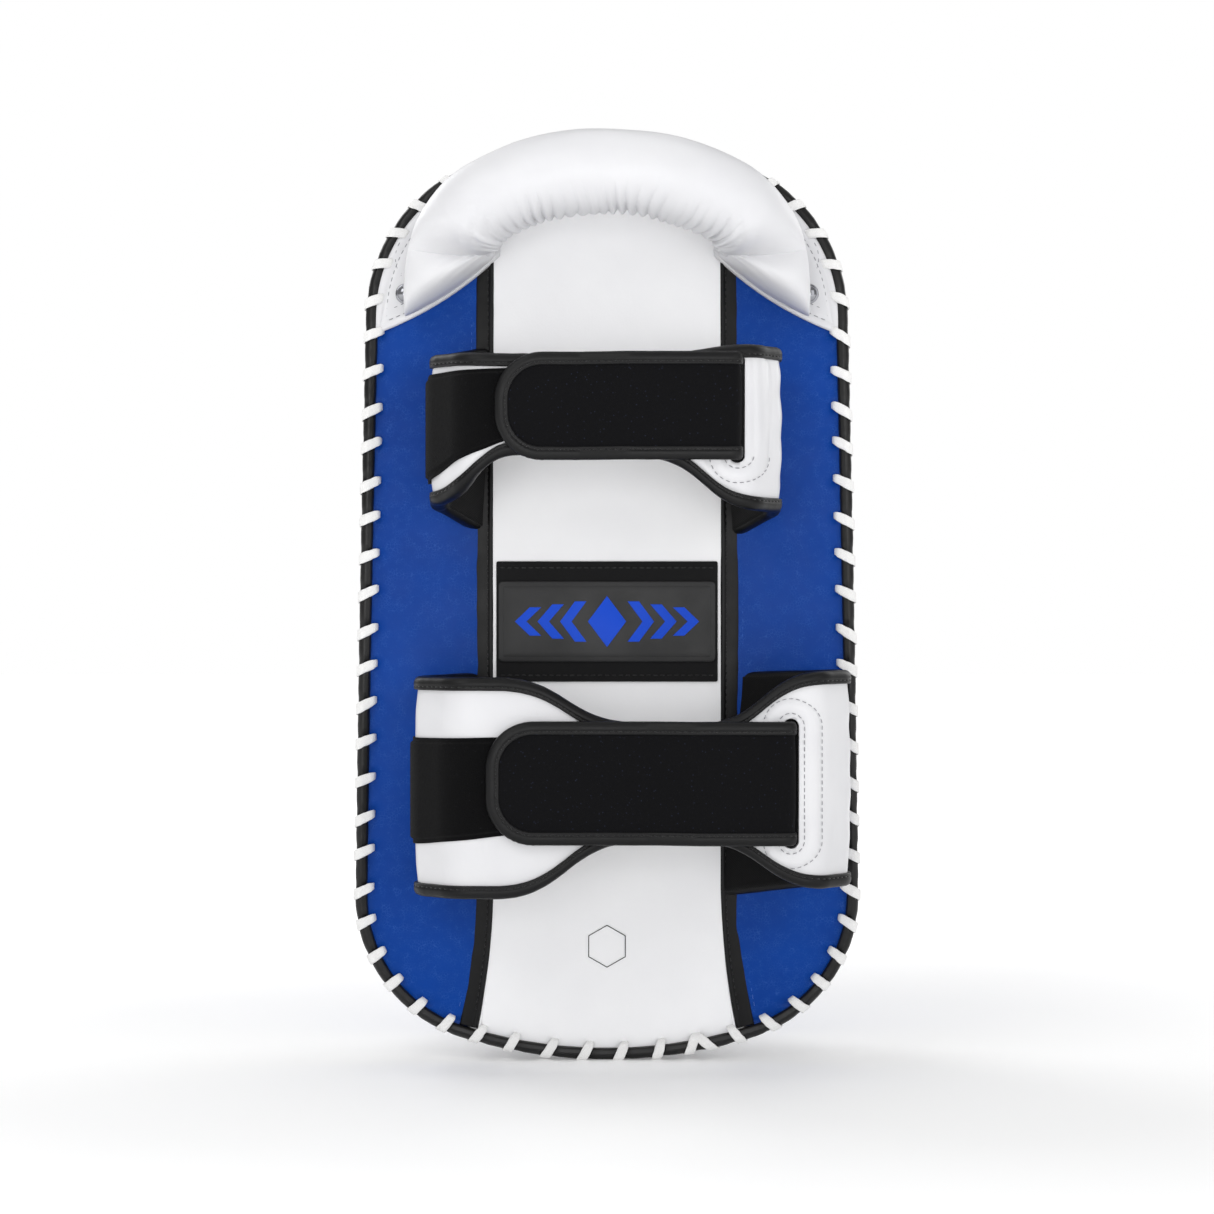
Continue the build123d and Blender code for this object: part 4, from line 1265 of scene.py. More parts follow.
def roll_plane():
    """Crown point, and the unit directions sideways, down the slope and out of the slope."""
    side, drop, _, _ = roll_route(400)
    end_drop = drop.max() - 4.0 * sin(roll_foot_turn)
    crown_y = back_surface(roll_crown_z) - leather - finger_gap - roll_r
    foot_z = roll_crown_z - end_drop
    foot_y = back_surface(foot_z) - roll_foot_standoff
    down = np.array([0, foot_y - crown_y, foot_z - roll_crown_z])
    down = down / np.linalg.norm(down)
    out = np.cross(down, [1.0, 0, 0])
    return np.array([0, crown_y, roll_crown_z]), np.array([1.0, 0, 0]), down, out


def tab_edge_z(x):
    """Height of a corner tab's lower edge: the arc through its three points."""
    (x1, z1), (x2, z2), (x3, z3) = tab_rise
    a = np.array([[2 * (x2 - x1), 2 * (z2 - z1)], [2 * (x3 - x1), 2 * (z3 - z1)]])
    b = np.array([x2**2 + z2**2 - x1**2 - z1**2, x3**2 + z3**2 - x1**2 - z1**2])
    centre = np.linalg.solve(a, b)
    radius = hypot(x1 - centre[0], z1 - centre[1])
    side = -np.abs(x) - centre[0]
    sign = 1 if z2 > centre[1] else -1
    return centre[1] + sign * np.sqrt(np.maximum(radius**2 - side**2, 0))


def roll_surface(radius, stations=300, around=72, creased=True):
    """Rings of the roll from foot to foot. Each foot flattens into a flap on its corner tab."""
    crown, sideways, down, out = roll_plane()
    side, drop, turn, run = roll_route(stations)
    half_run = run.max()
    angle = np.arange(around) * 2 * pi / around
    rings = np.zeros((stations, around, 3))
    for index in range(stations):
        middle = crown + sideways * side[index] + down * drop[index]
        outer = sideways * sin(turn[index]) - down * cos(turn[index])
        # angle 0 faces the outside of the bend, a quarter turn faces the strap side
        radial = np.cos(angle)[:, None] * outer + np.sin(angle)[:, None] * -out
        grow = np.full(around, radius)
        if creased:
            grow = grow + roll_creases(run[index], half_run, angle)
        ring = middle + radial * grow[:, None]
        from_end = half_run - abs(run[index])
        flat = smoothstep(from_end, *foot_blend)
        if flat > 0:
            hand = 1 if side[index] > 0 else -1
            across = np.cos(angle)
            spread_x = foot_x + foot_half_width * across
            end_z = tab_edge_z(spread_x) + 1.4
            along = from_end * (0.84 + 0.6 * across)
            lens = np.sqrt(np.maximum(1 - across**2, 0)) * np.sign(np.sin(angle))
            thick = flap_thickness + foot_bulge * np.sqrt(1 - (1 - min(from_end / foot_length, 1.0)) ** 2)
            target_z = end_z + along
            rest = back_surface(target_z) - leather - tab_thickness - 0.4
            fold = 1 - np.abs(np.sin((from_end + 6.0 * across + 1.2 * np.sin(2 * angle)) / 1.5)) ** 0.6
            fold = 1.1 * fold * smoothstep(-across, -0.6, 0.7) * np.minimum(from_end / 4.0, 1)
            target_y = rest - thick * (0.5 + 0.5 * lens) + fold * (lens > 0)
            target = np.stack([hand * spread_x, target_y, target_z], 1)
            ring = ring * (1 - flat) + target * flat
        rings[index] = ring
    return rings


def roll_creases(run, half_run, angle):
    """Gathers on the inside of the bend, slanting folds down the shoulders, and fine wrinkles all over."""
    inner = 0.5 - 0.5 * np.cos(angle)
    inside_bend = smoothstep(inner, 0.38, 0.95)
    crown_part = 1 - smoothstep(abs(run), 62.0, 84.0)
    shoulder_part = smoothstep(abs(run), 48.0, 70.0) * (1 - smoothstep(abs(run), half_run - 6, half_run))
    wobble = 1.3 * np.sin(3 * angle + run / 11) + 1.1 * np.sin(run / 6.1)
    phase = (run + wobble * 0.8) / 5.4
    gather = np.abs(np.sin(pi * phase)) ** 0.55
    strength = 0.75 + 0.45 * np.sin(run / 7.7) + 0.2 * np.sin(run / 3.1)
    depth = -2.7 * strength * (1 - gather) * inside_bend * crown_part
    scallop = 0.9 * (gather - 0.5) * smoothstep(inner, 0.8, 1.0) * crown_part
    slant = abs(run)
    sideways = 26 * inner * np.sign(np.sin(angle) + 0.2)
    diagonal = np.abs(np.sin((slant + sideways) / 3.3 + 0.8 * np.sin(angle * 4)))
    folds = -1.5 * (1 - np.sqrt(diagonal)) * smoothstep(inner, 0.2, 0.75) * shoulder_part
    fine = 0.12 * wander(run / 2.2 + 4 * inner, angle * 3.0, seed=61) * (0.3 + inner)
    soft = 0.5 * wander(run / 17, angle * 1.3, seed=62)
    squeeze = -1.1 * smoothstep(inner, 0.7, 1.0) * crown_part
    return depth + scallop + folds + fine + soft + squeeze


def cloth_swell(thing, held, pressure=4.0, cap=2.5, frames=20):
    """Blow a closed skin up a little as cloth, with some points held, and keep the result."""
    group = thing.vertex_groups.new(name="held")
    for weight in sorted(set(np.round(held, 2))):
        chosen = np.nonzero(np.abs(np.round(held, 2) - weight) < 1e-6)[0].tolist()
        group.add(chosen, float(weight), "REPLACE")
    before = np.zeros(len(thing.data.vertices) * 3, np.float32)
    thing.data.vertices.foreach_get("co", before)
    cloth = thing.modifiers.new("swell", "CLOTH")
    cloth.settings.quality = 6
    cloth.settings.mass = 0.3
    cloth.settings.use_pressure = True
    cloth.settings.uniform_pressure_force = pressure
    cloth.settings.tension_stiffness = 18
    cloth.settings.compression_stiffness = 18
    cloth.settings.bending_stiffness = 1.5
    cloth.settings.vertex_group_mass = "held"
    cloth.settings.effector_weights.gravity = 0
    cloth.collision_settings.use_collision = False
    cloth.point_cache.frame_end = frames
    for moment in range(1, frames + 1):
        view_scene.frame_set(moment)
    swollen = thing.evaluated_get(bpy.context.evaluated_depsgraph_get())
    after = np.zeros_like(before)
    swollen.data.vertices.foreach_get("co", after)
    thing.modifiers.clear()
    view_scene.frame_set(1)
    shift = (after - before).reshape(-1, 3)
    size = np.linalg.norm(shift, axis=1)[:, None]
    limit = cap * MM
    shift = shift * np.minimum(1, limit / np.maximum(size, 1e-9))
    thing.data.vertices.foreach_set("co", (before.reshape(-1, 3) + shift).astype(np.float32).ravel())
    thing.vertex_groups.clear()
    thing.data.update()
    return thing


def grip_roll():
    stations, around = 300, 72
    rings = roll_surface(roll_r - 0.6, stations, around)
    faces = grid_faces(stations, around, wrap_columns=True)
    faces += [list(range(around))[::-1], list(range((stations - 1) * around, stations * around))]
    roll = make("grip_roll", rings.reshape(-1, 3), faces, mat["roll"])
    face_outwards(roll)
    from_end = np.minimum(np.arange(stations), stations - 1 - np.arange(stations)) / (stations / 2)
    held = np.repeat(1 - smoothstep(from_end, 0.16, 0.34), around)
    cloth_swell(roll, held, pressure=3.0, cap=1.2)
    apply_modifier(roll, "SUBSURF", levels=1, render_levels=1)
    roll.data.polygons.foreach_set("use_smooth", np.ones(len(roll.data.polygons), bool))
    dress(roll, PAD, "white_leather", "roll_cover")


grip_roll()


def roll_insides():
    """The foam inside the roll. The CAD strap through it, that both feet are riveted by, is hidden."""
    crown, sideways, down, out = roll_plane()
    side, drop, turn, run = roll_route(160)
    keep = np.abs(run) < run.max() - core_end
    rings = []
    angle = np.arange(32) * 2 * pi / 32
    for x, fall, lean in zip(side[keep], drop[keep], turn[keep]):
        outer = sideways * sin(lean) - down * cos(lean)
        ring = crown + sideways * x + down * fall + core_r * (np.cos(angle)[:, None] * outer
                                                            + np.sin(angle)[:, None] * -out)
        rings.append(ring)
    core = ring_sweep("grip_core", np.array(rings), mat["foam"], closed=False, caps=True)
    dress(core, PAD, "foam", "roll_core", "grip_strap")


roll_insides()


# ---- corner tabs and rivets ----
rivet_x = 94.0
rivet_z = 359.0
tab_inner_x = 50.0               # where a tab disappears under the roll
hem_low = 4.2                    # from the tab's lower edge to its first row of thread
hem_second = 9.0
hem_rim = 5.0
bow_r = 14.0                     # the bowed row of thread beside the rivet


def corner_tab(name, side, node):
    """The white tab that a foot of the roll ends in, sewn over the corner of the back."""
    margin = piping_width - 0.3
    half = np.linspace(0, outline_length / 2, 6000)
    rim = edge_point(half, margin)
    start = half[np.argmin(np.abs(rim[:, 2] - tab_edge_z(rim[:, 0])) + 1e3 * (rim[:, 2] < 300))]
    end_x = tab_inner_x
    upper = half > outline_length * 0.3
    end = half[upper][np.argmin(np.abs(rim[upper][:, 0] - end_x))]
    rows, columns = 150, 40
    run = np.linspace(start, end, rows)
    outer = edge_point(run, margin)
    low_x = np.linspace(outer[0, 0], end_x, 90)
    inner = np.stack([low_x, 0 * low_x, tab_edge_z(low_x)], 1)
    rise = np.linspace(inner[-1, 2], outer[-1, 2], 60)[1:]
    inner = np.concatenate([inner, np.stack([end_x + 0 * rise, 0 * rise, rise], 1)])
    length = run_along(inner)
    places = np.linspace(0, length[-1], rows)
    inner = np.stack([np.interp(places, length, inner[:, axis]) for axis in range(3)], 1)
    u = np.linspace(0, 1, columns)[None, :, None]
    grid = inner[:, None, :] * (1 - u) + outer[:, None, :] * u
    x, z = grid[..., 0], grid[..., 2]
    low_gap = np.maximum(z - tab_edge_z(x), 0)
    rim_gap = np.linalg.norm(grid - outer[:, None, :], axis=-1)
    stitch = 0.35 * (bump(low_gap - hem_low, 0.9) + bump(rim_gap - hem_rim, 0.9))
    rivet_dent = 0.5 * bump(np.hypot(x - rivet_x, z - rivet_z), 6.5)
    waves = 0.16 * wander(x / 7, z / 9, seed=70 + side) * smoothstep(low_gap, 0, 8)
    lip = 1.2 * (1 - np.exp(-low_gap / 0.7))
    height = leather + 1.5 + lip - stitch - rivet_dent + waves
    on_edge = np.exp(-rim_gap / 1.6)
    height = height - 0.5 * on_edge
    y = back_surface(z) - height
    points = np.stack([x * side, y, z], -1).reshape(-1, 3)
    tab = make(name, points, grid_faces(rows, columns, flip=side > 0), mat["cuff"])
    tidy_mesh(tab, 1e-6)
    skin(tab, tab_leather, flip=middle_normal(tab).y > 0)
    dress(tab, PAD, "white_leather", node)
    rows_of_thread = []
    lines = []
    sew_x = np.linspace(outer[0, 0] - 5.5, 60, 70)
    lines.append(np.stack([sew_x, 0 * sew_x, tab_edge_z(sew_x) + hem_low], 1))
    short_x = np.linspace(outer[0, 0] - 7.5, rivet_x - 7, 30)
    lines.append(np.stack([short_x, 0 * short_x, tab_edge_z(short_x) + hem_second], 1))
    rim_run = np.linspace(start + 7, end - 4, 120)
    lines.append(edge_point(rim_run, margin + hem_rim))
    across_run = start + 33.0
    from_edge = np.linspace(6.5, 22, 16)
    lines.append(edge_point(across_run + 0 * from_edge, margin + from_edge))
    turn = np.linspace(radians(35), radians(-60), 20)
    bow_x = rivet_x - 9 + bow_r * np.cos(turn)
    bow_z = rivet_z + 17 + bow_r * np.sin(turn)
    lines.append(np.stack([bow_x, 0 * turn, bow_z], 1))
    for line in lines:
        line = line.copy()
        line[:, 1] = back_surface(line[:, 2]) - leather - 2.42
        line[:, 0] *= side
        normals = np.tile([0, -1.0, 0], (len(line), 1))
        rows_of_thread.append(stitch_row(line, normals, *FINE_STITCH))
    thread(name + "_stitches", rows_of_thread, "grey_thread", "white_leather")


corner_tab("corner_tab_left", -1, "roll_tab_left")
corner_tab("corner_tab_right", 1, "roll_tab_right")


def rivet_domes():
    """Polished domed rivet heads, each with a rolled rim."""
    profile = [(0.0, 2.75), (1.2, 2.68), (2.3, 2.4), (3.2, 1.85), (3.8, 1.25), (4.05, 0.85), (4.35, 0.85),
               (4.7, 0.65), (4.8, 0.3), (4.65, -0.1), (3.0, -0.2)]
    around = 48
    shapes = []
    for side in (-1, 1):
        points = []
        seat = back_surface(rivet_z) - leather - 2.45
        for radius, height in profile:
            for step in range(around):
                angle = 2 * pi * step / around
                x = side * rivet_x + radius * cos(angle)
                points.append((x, seat - height, rivet_z + radius * sin(angle)))
        faces = grid_faces(len(profile), around, wrap_columns=True)
        faces.append(list(range((len(profile) - 1) * around, len(profile) * around)))
        shapes.append((points, faces))
    points, faces = join_shapes(shapes)
    domes = tidy_mesh(make("rivet_domes", points, faces, mat["chrome"]), 1e-6)
    dress(domes, PAD, "rivet_chrome", "rivet_caps")


rivet_domes()


# ---------------------------------------------------------------- cuffs and straps
left_standoff = 61.0
right_standoff = 67.5
strap_standoff = 73.4
tab_standoff = 68.5
strap_thickness = 3.0
tip_r = 21.0
binding_proud = 0.9              # how far a binding stands over the strip that it edges
binding_width = 5.8
slot_half_width = 3.6
slot_end_r = 3.5
stitch_ovals = (5.9, 12.4)       # reach of the two ovals of thread round a slot
lining_thickness = 1.1
pile_height = 1.3
fray_count = 170                 # loose fibres at the cut end of a loop tape
fibre_radius = 0.07
hook_thickness = 1.1
webbing_half = 1.1
webbing_rib = 1.6
webbing_inset = 1.8
cuffs = {
    "upper_cuff_left": {
        "path": [(-57, -6), (-77, 22), (-77, 40), (-62, left_standoff), (60, left_standoff)],
        "radius": 14, "split": 31, "side": (-80, 259, 327), "root": (-57, 246, 334),
        "curve_x": -80, "join": (-40, 281, 326.2), "end_x": 11, "thick": 6.0,
    },
    "upper_cuff_right": {
        "path": [(57, -6), (76, 22), (76, 46), (64, right_standoff), (-20, right_standoff)],
        "radius": 12, "split": 31, "side": (79, 256, 330), "root": (57, 244, 334),
        "curve_x": 70, "join": (16, 279.5, 325.5), "end_x": 13, "thick": 5.0, "slot": (58.0, 277.0, 326.5),
    },
    "lower_cuff_left": {
        "path": [(-57, -6), (-84, 24), (-84, 42), (-68, left_standoff), (90, left_standoff)],
        "radius": 14, "split": 33, "side": (-87, 82, 181), "root": (-57, 78, 182),
        "curve_x": -50, "join": (14, 107.2, 160.8), "end_x": 40, "thick": 6.0,
    },
    "lower_cuff_right": {
        "path": [(57, -6), (107, 26), (107, 50), (94, right_standoff), (-20, right_standoff)],
        "radius": 12, "split": 38, "side": (110, 87, 184), "root": (57, 78, 182),
        "curve_x": 98, "join": (41, 107.5, 160.5), "end_x": 42, "thick": 5.0, "slot": (82.0, 105.0, 163.0),
    },
}
straps = {
    "upper": {"low": 278.5, "high": 326.5, "slot_x": 58.0, "tip_x": -50.0, "bend": (10.0, -12.0),
              "tape_x": -6.0,
              "tape_z": (269.0, 318.0, 291.0, 320.0)},
    "lower": {"low": 106.5, "high": 161.5, "slot_x": 82.0, "tip_x": -54.0, "bend": (40.0, 18.0),
              "tape_x": 10.0,
              "tape_z": (105.0, 153.5, 113.0, 155.0)},
}


class Band:
    """A strip standing on edge, bent along a route seen from above: (x, distance over the back surface)."""

    def __init__(self, points, radius, hand):
        points = [np.array(point, float) for point in points]
        route = [points[0]]
        for before, corner, after in zip(points, points[1:], points[2:]):
            first = (before - corner) / np.linalg.norm(before - corner)
            second = (after - corner) / np.linalg.norm(after - corner)
            opening = acos(np.clip(first @ second, -1, 1))
            reach = radius / np.tan(opening / 2)
            centre = corner + (first + second) / np.linalg.norm(first + second) * radius / sin(opening / 2)
            start = corner + first * reach - centre
            end = corner + second * reach - centre
            from_angle = atan2(start[1], start[0])
            sweep = (atan2(end[1], end[0]) - from_angle + pi) % (2 * pi) - pi
            for angle in np.linspace(from_angle, from_angle + sweep, 16):
                route.append(centre + radius * np.array([cos(angle), sin(angle)]))
        route.append(points[-1])
        self.route = np.array(route)
        self.run = run_along(self.route)
        self.length = self.run[-1]
        self.hand = hand

    def flat(self, run):
        return np.stack([np.interp(run, self.run, self.route[:, axis]) for axis in range(2)], -1)

    def outward(self, run):
        heading = self.flat(np.asarray(run) + 1.2) - self.flat(np.asarray(run) - 1.2)
        heading /= np.linalg.norm(heading, axis=-1)[..., None]
        turned = np.stack([-heading[..., 1], heading[..., 0]], -1) * self.hand
        return turned

    def at(self, run, z, offset):
        run, z, offset = np.broadcast_arrays(*(np.asarray(value, float) for value in (run, z, offset)))
        spot = self.flat(run) + self.outward(run) * offset[..., None]
        return np.stack([spot[..., 0], back_y - spot[..., 1], z], -1)

    def normal(self, run):
        turned = self.outward(run)
        return np.stack([turned[..., 0], -turned[..., 1], 0 * turned[..., 0]], -1)

    def run_where(self, x, front=True):
        """Distance along the route where it crosses x, on its front part."""
        places = np.linspace(0, self.length, 4000)
        spots = self.flat(places)
        keep = spots[:, 1] > (50 if front else -100)
        return places[keep][np.argmin(np.abs(spots[keep][:, 0] - x))]


def cuff_heights(cuff, band, run):
    """Lower and upper edge of a cuff along its route: root to side, then a soft S to the narrow front."""
    spots = band.flat(run)
    x, distance = spots[..., 0], spots[..., 1]
    side_x, side_low, side_high = cuff["side"]
    root_x, root_low, root_high = cuff["root"]
    join_x, front_low, front_high = cuff["join"]
    t = np.linspace(0, 1, 60)
    bezier_x = 1.5 * t - 1.5 * t**2 + t**3
    share = np.clip((x - cuff["curve_x"]) / (join_x - cuff["curve_x"]), 0, 1)
    s_curve = smoothstep(np.interp(share, bezier_x, t))
    back_share = np.clip((x - root_x) / (side_x - root_x), 0, 1)
    in_front = smoothstep(distance, cuff["split"] - 6, cuff["split"] + 6)
    low = (side_low + (front_low - side_low) * s_curve) * in_front \
        + (root_low + (side_low - root_low) * back_share) * (1 - in_front)
    high = (side_high + (front_high - side_high) * s_curve) * in_front \
        + (root_high + (side_high - root_high) * back_share) * (1 - in_front)
    return low, high


def slot_distance(cuff, x, z):
    """Distance from the middle line of the cuff's slot."""
    slot_x, low, high = cuff["slot"]
    half = (high - low) / 2 - slot_end_r
    middle = (low + high) / 2
    return np.hypot(x - slot_x, np.maximum(np.abs(z - middle) - half, 0))


def band_shell(band, runs, low, high, outer, inner, material, name, rows=40):
    """A closed padded strip. outer and inner are functions of (run, height share) giving the offsets."""
    share = 0.5 - 0.5 * np.cos(np.linspace(0, pi, rows))
    share = 0.5 * share + 0.5 * np.linspace(0, 1, rows)
    run = runs[:, None]
    z_out = low[:, None] + (high - low)[:, None] * share[None, :]
    front = band.at(run, z_out, outer(run, share[None, :], z_out))
    rear = band.at(run, z_out[:, ::-1], inner(run, share[None, ::-1], z_out[:, ::-1]))
    rings = np.concatenate([front, rear], axis=1)
    return ring_sweep(name, rings, material, closed=False, caps=True)


def edge_line(band, runs, heights, inset, offset, top):
    z = heights - inset if top else heights + inset
    return band.at(runs, z, offset)


def edge_tube(name, band, runs, heights, top, half_thick, wobble_seed):
    """The rolled tape over one edge of a strip: a rounded U whose legs grip both faces."""
    width = binding_width
    sign = 1 if top else -1
    t = half_thick + binding_proud
    # height from the edge inwards, offset from the strip's middle
    profile = np.array([(-width, t - 0.55), (-width + 0.25, t - 0.1), (-width + 0.9, t),
                        (-width + 1.5, t - 0.3),
                        (-width + 1.9, t - 0.05), (-3.0, t + 0.1), (-1.6, t - 0.15), (-0.5, t - 0.9),
                        (0.1, t - 2.0),
                        (0.3, 0.0), (0.1, -t + 2.0), (-0.5, -t + 0.9), (-1.6, -t + 0.15), (-width + 0.9, -t),
                        (-width, -t + 0.5), (-width - 0.1, 0.0)])
    uneven = 0.14 * wander(runs / 4.0, seed=wobble_seed) + 0.05 * wander(runs / 1.6, seed=wobble_seed + 1)
    rings = np.zeros((len(runs), len(profile), 3))
    for index, (height, offset) in enumerate(profile):
        z = heights + sign * height * (1 + 0.04 * uneven) + sign * uneven * 0.6
        rings[:, index] = band.at(runs, z, offset + uneven * np.sign(offset) * 0.5)
    return ring_sweep(name, rings, mat["binding"], closed=False, caps=True)


def build_cuff(name, cuff):
    hand = 1 if "left" in name else -1
    start = np.array(cuff["path"][0], float)
    ahead = np.array(cuff["path"][1], float)
    step = (ahead - start) / np.linalg.norm(ahead - start)
    band = Band([start - step * 3.5, *cuff["path"][1:]], cuff["radius"], hand)
    end_run = band.run_where(cuff["end_x"])
    runs = np.linspace(0, end_run, 170)
    low, high = cuff_heights(cuff, band, runs)
    half = cuff["thick"] / 2
    seed = sum(map(ord, name))

    def outer(run, share, z):
        edge = np.minimum(share, 1 - share)
        pillow = half * (0.62 + 0.38 * smoothstep(edge, 0.0, 0.16)) + 0.5 * smoothstep(edge, 0.1, 0.5)
        folds = 0.28 * wander(run / 9, z / 30, seed=seed) + 0.1 * wander(run / 3.5, z / 18, seed=seed + 1)
        bend = 0.3 * bump(run - band.length * 0.33, 18) * np.sin(z / 3.1 + run / 5)
        offset = pillow + (folds + bend) * smoothstep(edge, 0.02, 0.2)
        if "slot" in cuff:
            x = band.flat(run)[..., 0]
            in_front = band.flat(run)[..., 1] > 50
            gap = slot_distance(cuff, x, z)
            welt = 0.45 * bump(gap - 9.0, 3.2) - 0.35 * bump(gap - 12.5, 0.8) - 0.35 * bump(gap - 6.0, 0.8)
            offset = offset + welt * in_front
        return offset

    def inner(run, share, z):
        edge = np.minimum(share, 1 - share)
        return -half * (0.7 + 0.3 * smoothstep(edge, 0.0, 0.16))

    margin = 1.6
    pad = band_shell(band, runs, low + margin, high - margin, outer, inner, mat["cuff"], name + "_pad")
    count = len(pad.data.vertices)
    co = np.zeros(count * 3)
    pad.data.vertices.foreach_get("co", co)
    z = co.reshape(-1, 3)[:, 2] / MM
    distance = back_y - co.reshape(-1, 3)[:, 1] / MM
    span_low = (low.min() + low.max()) / 2
    near_root = 1 - smoothstep(distance, 4, 14)
    rim_share = np.minimum(z - low.min(), high.max() - z) / (high.max() - span_low)
    held = np.maximum(near_root, 1 - smoothstep(rim_share, 0.06, 0.3))
    if "slot" in cuff:
        held = np.maximum(held, (slot_distance(cuff, co.reshape(-1, 3)[:, 0] / MM, z) < 14) * 1.0)
    cloth_swell(pad, held, pressure=2.0, cap=0.7, frames=14)
    if "slot" in cuff:
        cut_slot(pad, cuff)
    dress(pad, PAD, "cuff_leather", name)

    lining_runs = runs[:-1]
    gap = half + 0.25

    def lining_back(run, share, z):
        soft = 0.35 * smoothstep(np.minimum(share, 1 - share), 0, 0.3)
        return -gap - lining_thickness - soft - 0.15 * wander(run / 6, z / 12, seed=seed + 5)

    lining = band_shell(band, lining_runs, low[:-1] + 2.0, high[:-1] - 2.0,
                        lambda run, share, z: -gap,
                        lining_back, mat["lining"], name + "_inside", rows=26)
    if "slot" in cuff:
        cut_slot(lining, cuff)
    dress(lining, PAD, "lining", name + "_lining")

    edges = []
    threads = []
    for top, heights in ((False, low), (True, high)):
        edges.append(edge_tube(name + ("_edge_high" if top else "_edge_low"), band, runs, heights, top, half,
                               seed + 7 + top))
        line = edge_line(band, runs[4:-2], heights[4:-2], binding_width - 1.55, half + binding_proud - 0.12,
                         top)
        threads.append(stitch_row(line, band.normal(runs[4:-2]), *EDGE_STITCH))
    for edge in edges:
        dress(edge, PAD, "black_binding", name + "_binding")
    thread(name + "_edge_stitches", threads, "black_thread", "black_binding")
    if "slot" in cuff:
        slot_stitches(name, cuff, band, half)
    return band, runs


def cut_slot(thing, cuff):
    """Cut the strap's slot through a cuff: a tall narrow hole with round ends."""
    slot_x, low, high = cuff["slot"]
    middle = (low + high) / 2
    straight = (high - low) / 2 - slot_half_width
    steps = 24
    rim = []
    for step in range(steps):
        angle = 2 * pi * step / steps
        rim.append((slot_x + slot_half_width * cos(angle),
                    middle + straight * (1 if sin(angle) >= 0 else -1) + slot_half_width * sin(angle)))
    points = []
    for distance in (right_standoff - 12, right_standoff + 12):
        points += [(x, back_y - distance, z) for x, z in rim]
    cutter = tidy_mesh(make("cutter", points, prism_faces(steps), None, smooth=False))
    apply_modifier(thing, "BOOLEAN", object=cutter, operation="DIFFERENCE", solver="EXACT")
    bpy.data.objects.remove(cutter)


def slot_stitches(name, cuff, band, half):
    """The two ovals of thread round a slot."""
    slot_x, low, high = cuff["slot"]
    middle = (low + high) / 2
    rows = []
    for reach in stitch_ovals:
        straight = (high - low) / 2 - slot_end_r
        ring = [(slot_x + reach, middle - straight)]
        for step in range(97):
            angle = 2 * pi * step / 96
            x = slot_x + reach * cos(angle)
            z = middle + straight * (1 if sin(angle) >= 0 else -1) + reach * sin(angle)
            ring.append((x, z))
        ring = np.array(ring)
        places = np.array([band.run_where(x) for x in ring[:, 0]])
        cuff_low, cuff_high = cuff_heights(cuff, band, places)
        inside_cuff = (ring[:, 1] > cuff_low + binding_width) & (ring[:, 1] < cuff_high - binding_width)
        line = band.at(places, ring[:, 1], half + 0.55)
        normals = band.normal(places)
        for part in np.split(np.arange(len(ring)), np.nonzero(np.diff(inside_cuff.astype(int)))[0] + 1):
            if inside_cuff[part[0]] and len(part) > 4:
                rows.append(stitch_row(line[part], normals[part], *SLOT_STITCH))
    thread(name + "_slot_stitches", rows, "grey_thread", "cuff_leather")


bands = {}
for cuff_name, cuff in cuffs.items():
    bands[cuff_name] = build_cuff(cuff_name, cuff)


def loop_tape(strap_name, strap):
    """The pile tape sewn on the left cuff: soft nap, flat hems and a fuzzy cut edge."""
    cuff = cuffs[f"{strap_name}_cuff_left"]
    band, _ = bands[f"{strap_name}_cuff_left"]
    places = np.linspace(0, band.length, 2000)
    side = places[np.argmax(band.flat(places)[:, 1] > 27)]
    end = band.run_where(strap["tape_x"])
    runs = np.linspace(side, end, 150)
    left_low, left_high, right_low, right_high = strap["tape_z"]
    share = smoothstep(runs, runs[0], runs[-1] - 20)
    low = left_low + (right_low - left_low) * share
    high = left_high + (right_high - left_high) * share
    half = cuff["thick"] / 2

    def outer(run, share, z):
        edge = np.minimum(share, 1 - share)
        hem = smoothstep(edge, 0.035, 0.06)
        start_edge = smoothstep(run, runs[0], runs[0] + 1.5)
        tuft = 0.05 * wander(run * 1.9, z * 2.3, seed=81) + 0.04 * wander(run * 0.8, z * 1.1, seed=82)
        return half + 1.1 + (pile_height + tuft) * hem * start_edge + 0.9 * bump(run - runs[0], 4)

    def inner(run, share, z):
        return half + 0.35

    tape = band_shell(band, runs, low, high, outer, inner, mat["loop"], f"{strap_name}_loop_pile", rows=60)
    dress(tape, PAD, "loop_tape", f"{strap_name}_loop_tape")
    draw = np.random.default_rng(5)
    fibres = []
    for _ in range(fray_count):
        z = draw.uniform(low[0] + 1, high[0] - 1)
        start = band.at(runs[0] + 0.3, z, half + draw.uniform(0.6, 2.2))
        end_point = start + np.array([draw.uniform(-1.6, 0.2), draw.uniform(-0.7, 0.9),
                                      draw.uniform(-0.8, 0.8)])
        fibres.append(stitch_shapes([start], [end_point], [np.array([-1.0, 0, 0])], fibre_radius))
    thread(f"{strap_name}_loop_fray", fibres, "black_thread", "loop_tape")


def strap_band(strap):
    """The strap's route, from inside its slot, out and round the fold, and on to its tip."""
    slot_bend, tip_bend = strap["bend"]
    slot_x = strap["slot_x"]
    return Band([(slot_x + 0.6, strap_standoff - 5.5), (slot_x + 0.4, strap_standoff),
                 (slot_bend, strap_standoff), (tip_bend, tab_standoff), (-80, tab_standoff)], 3.2, -1)


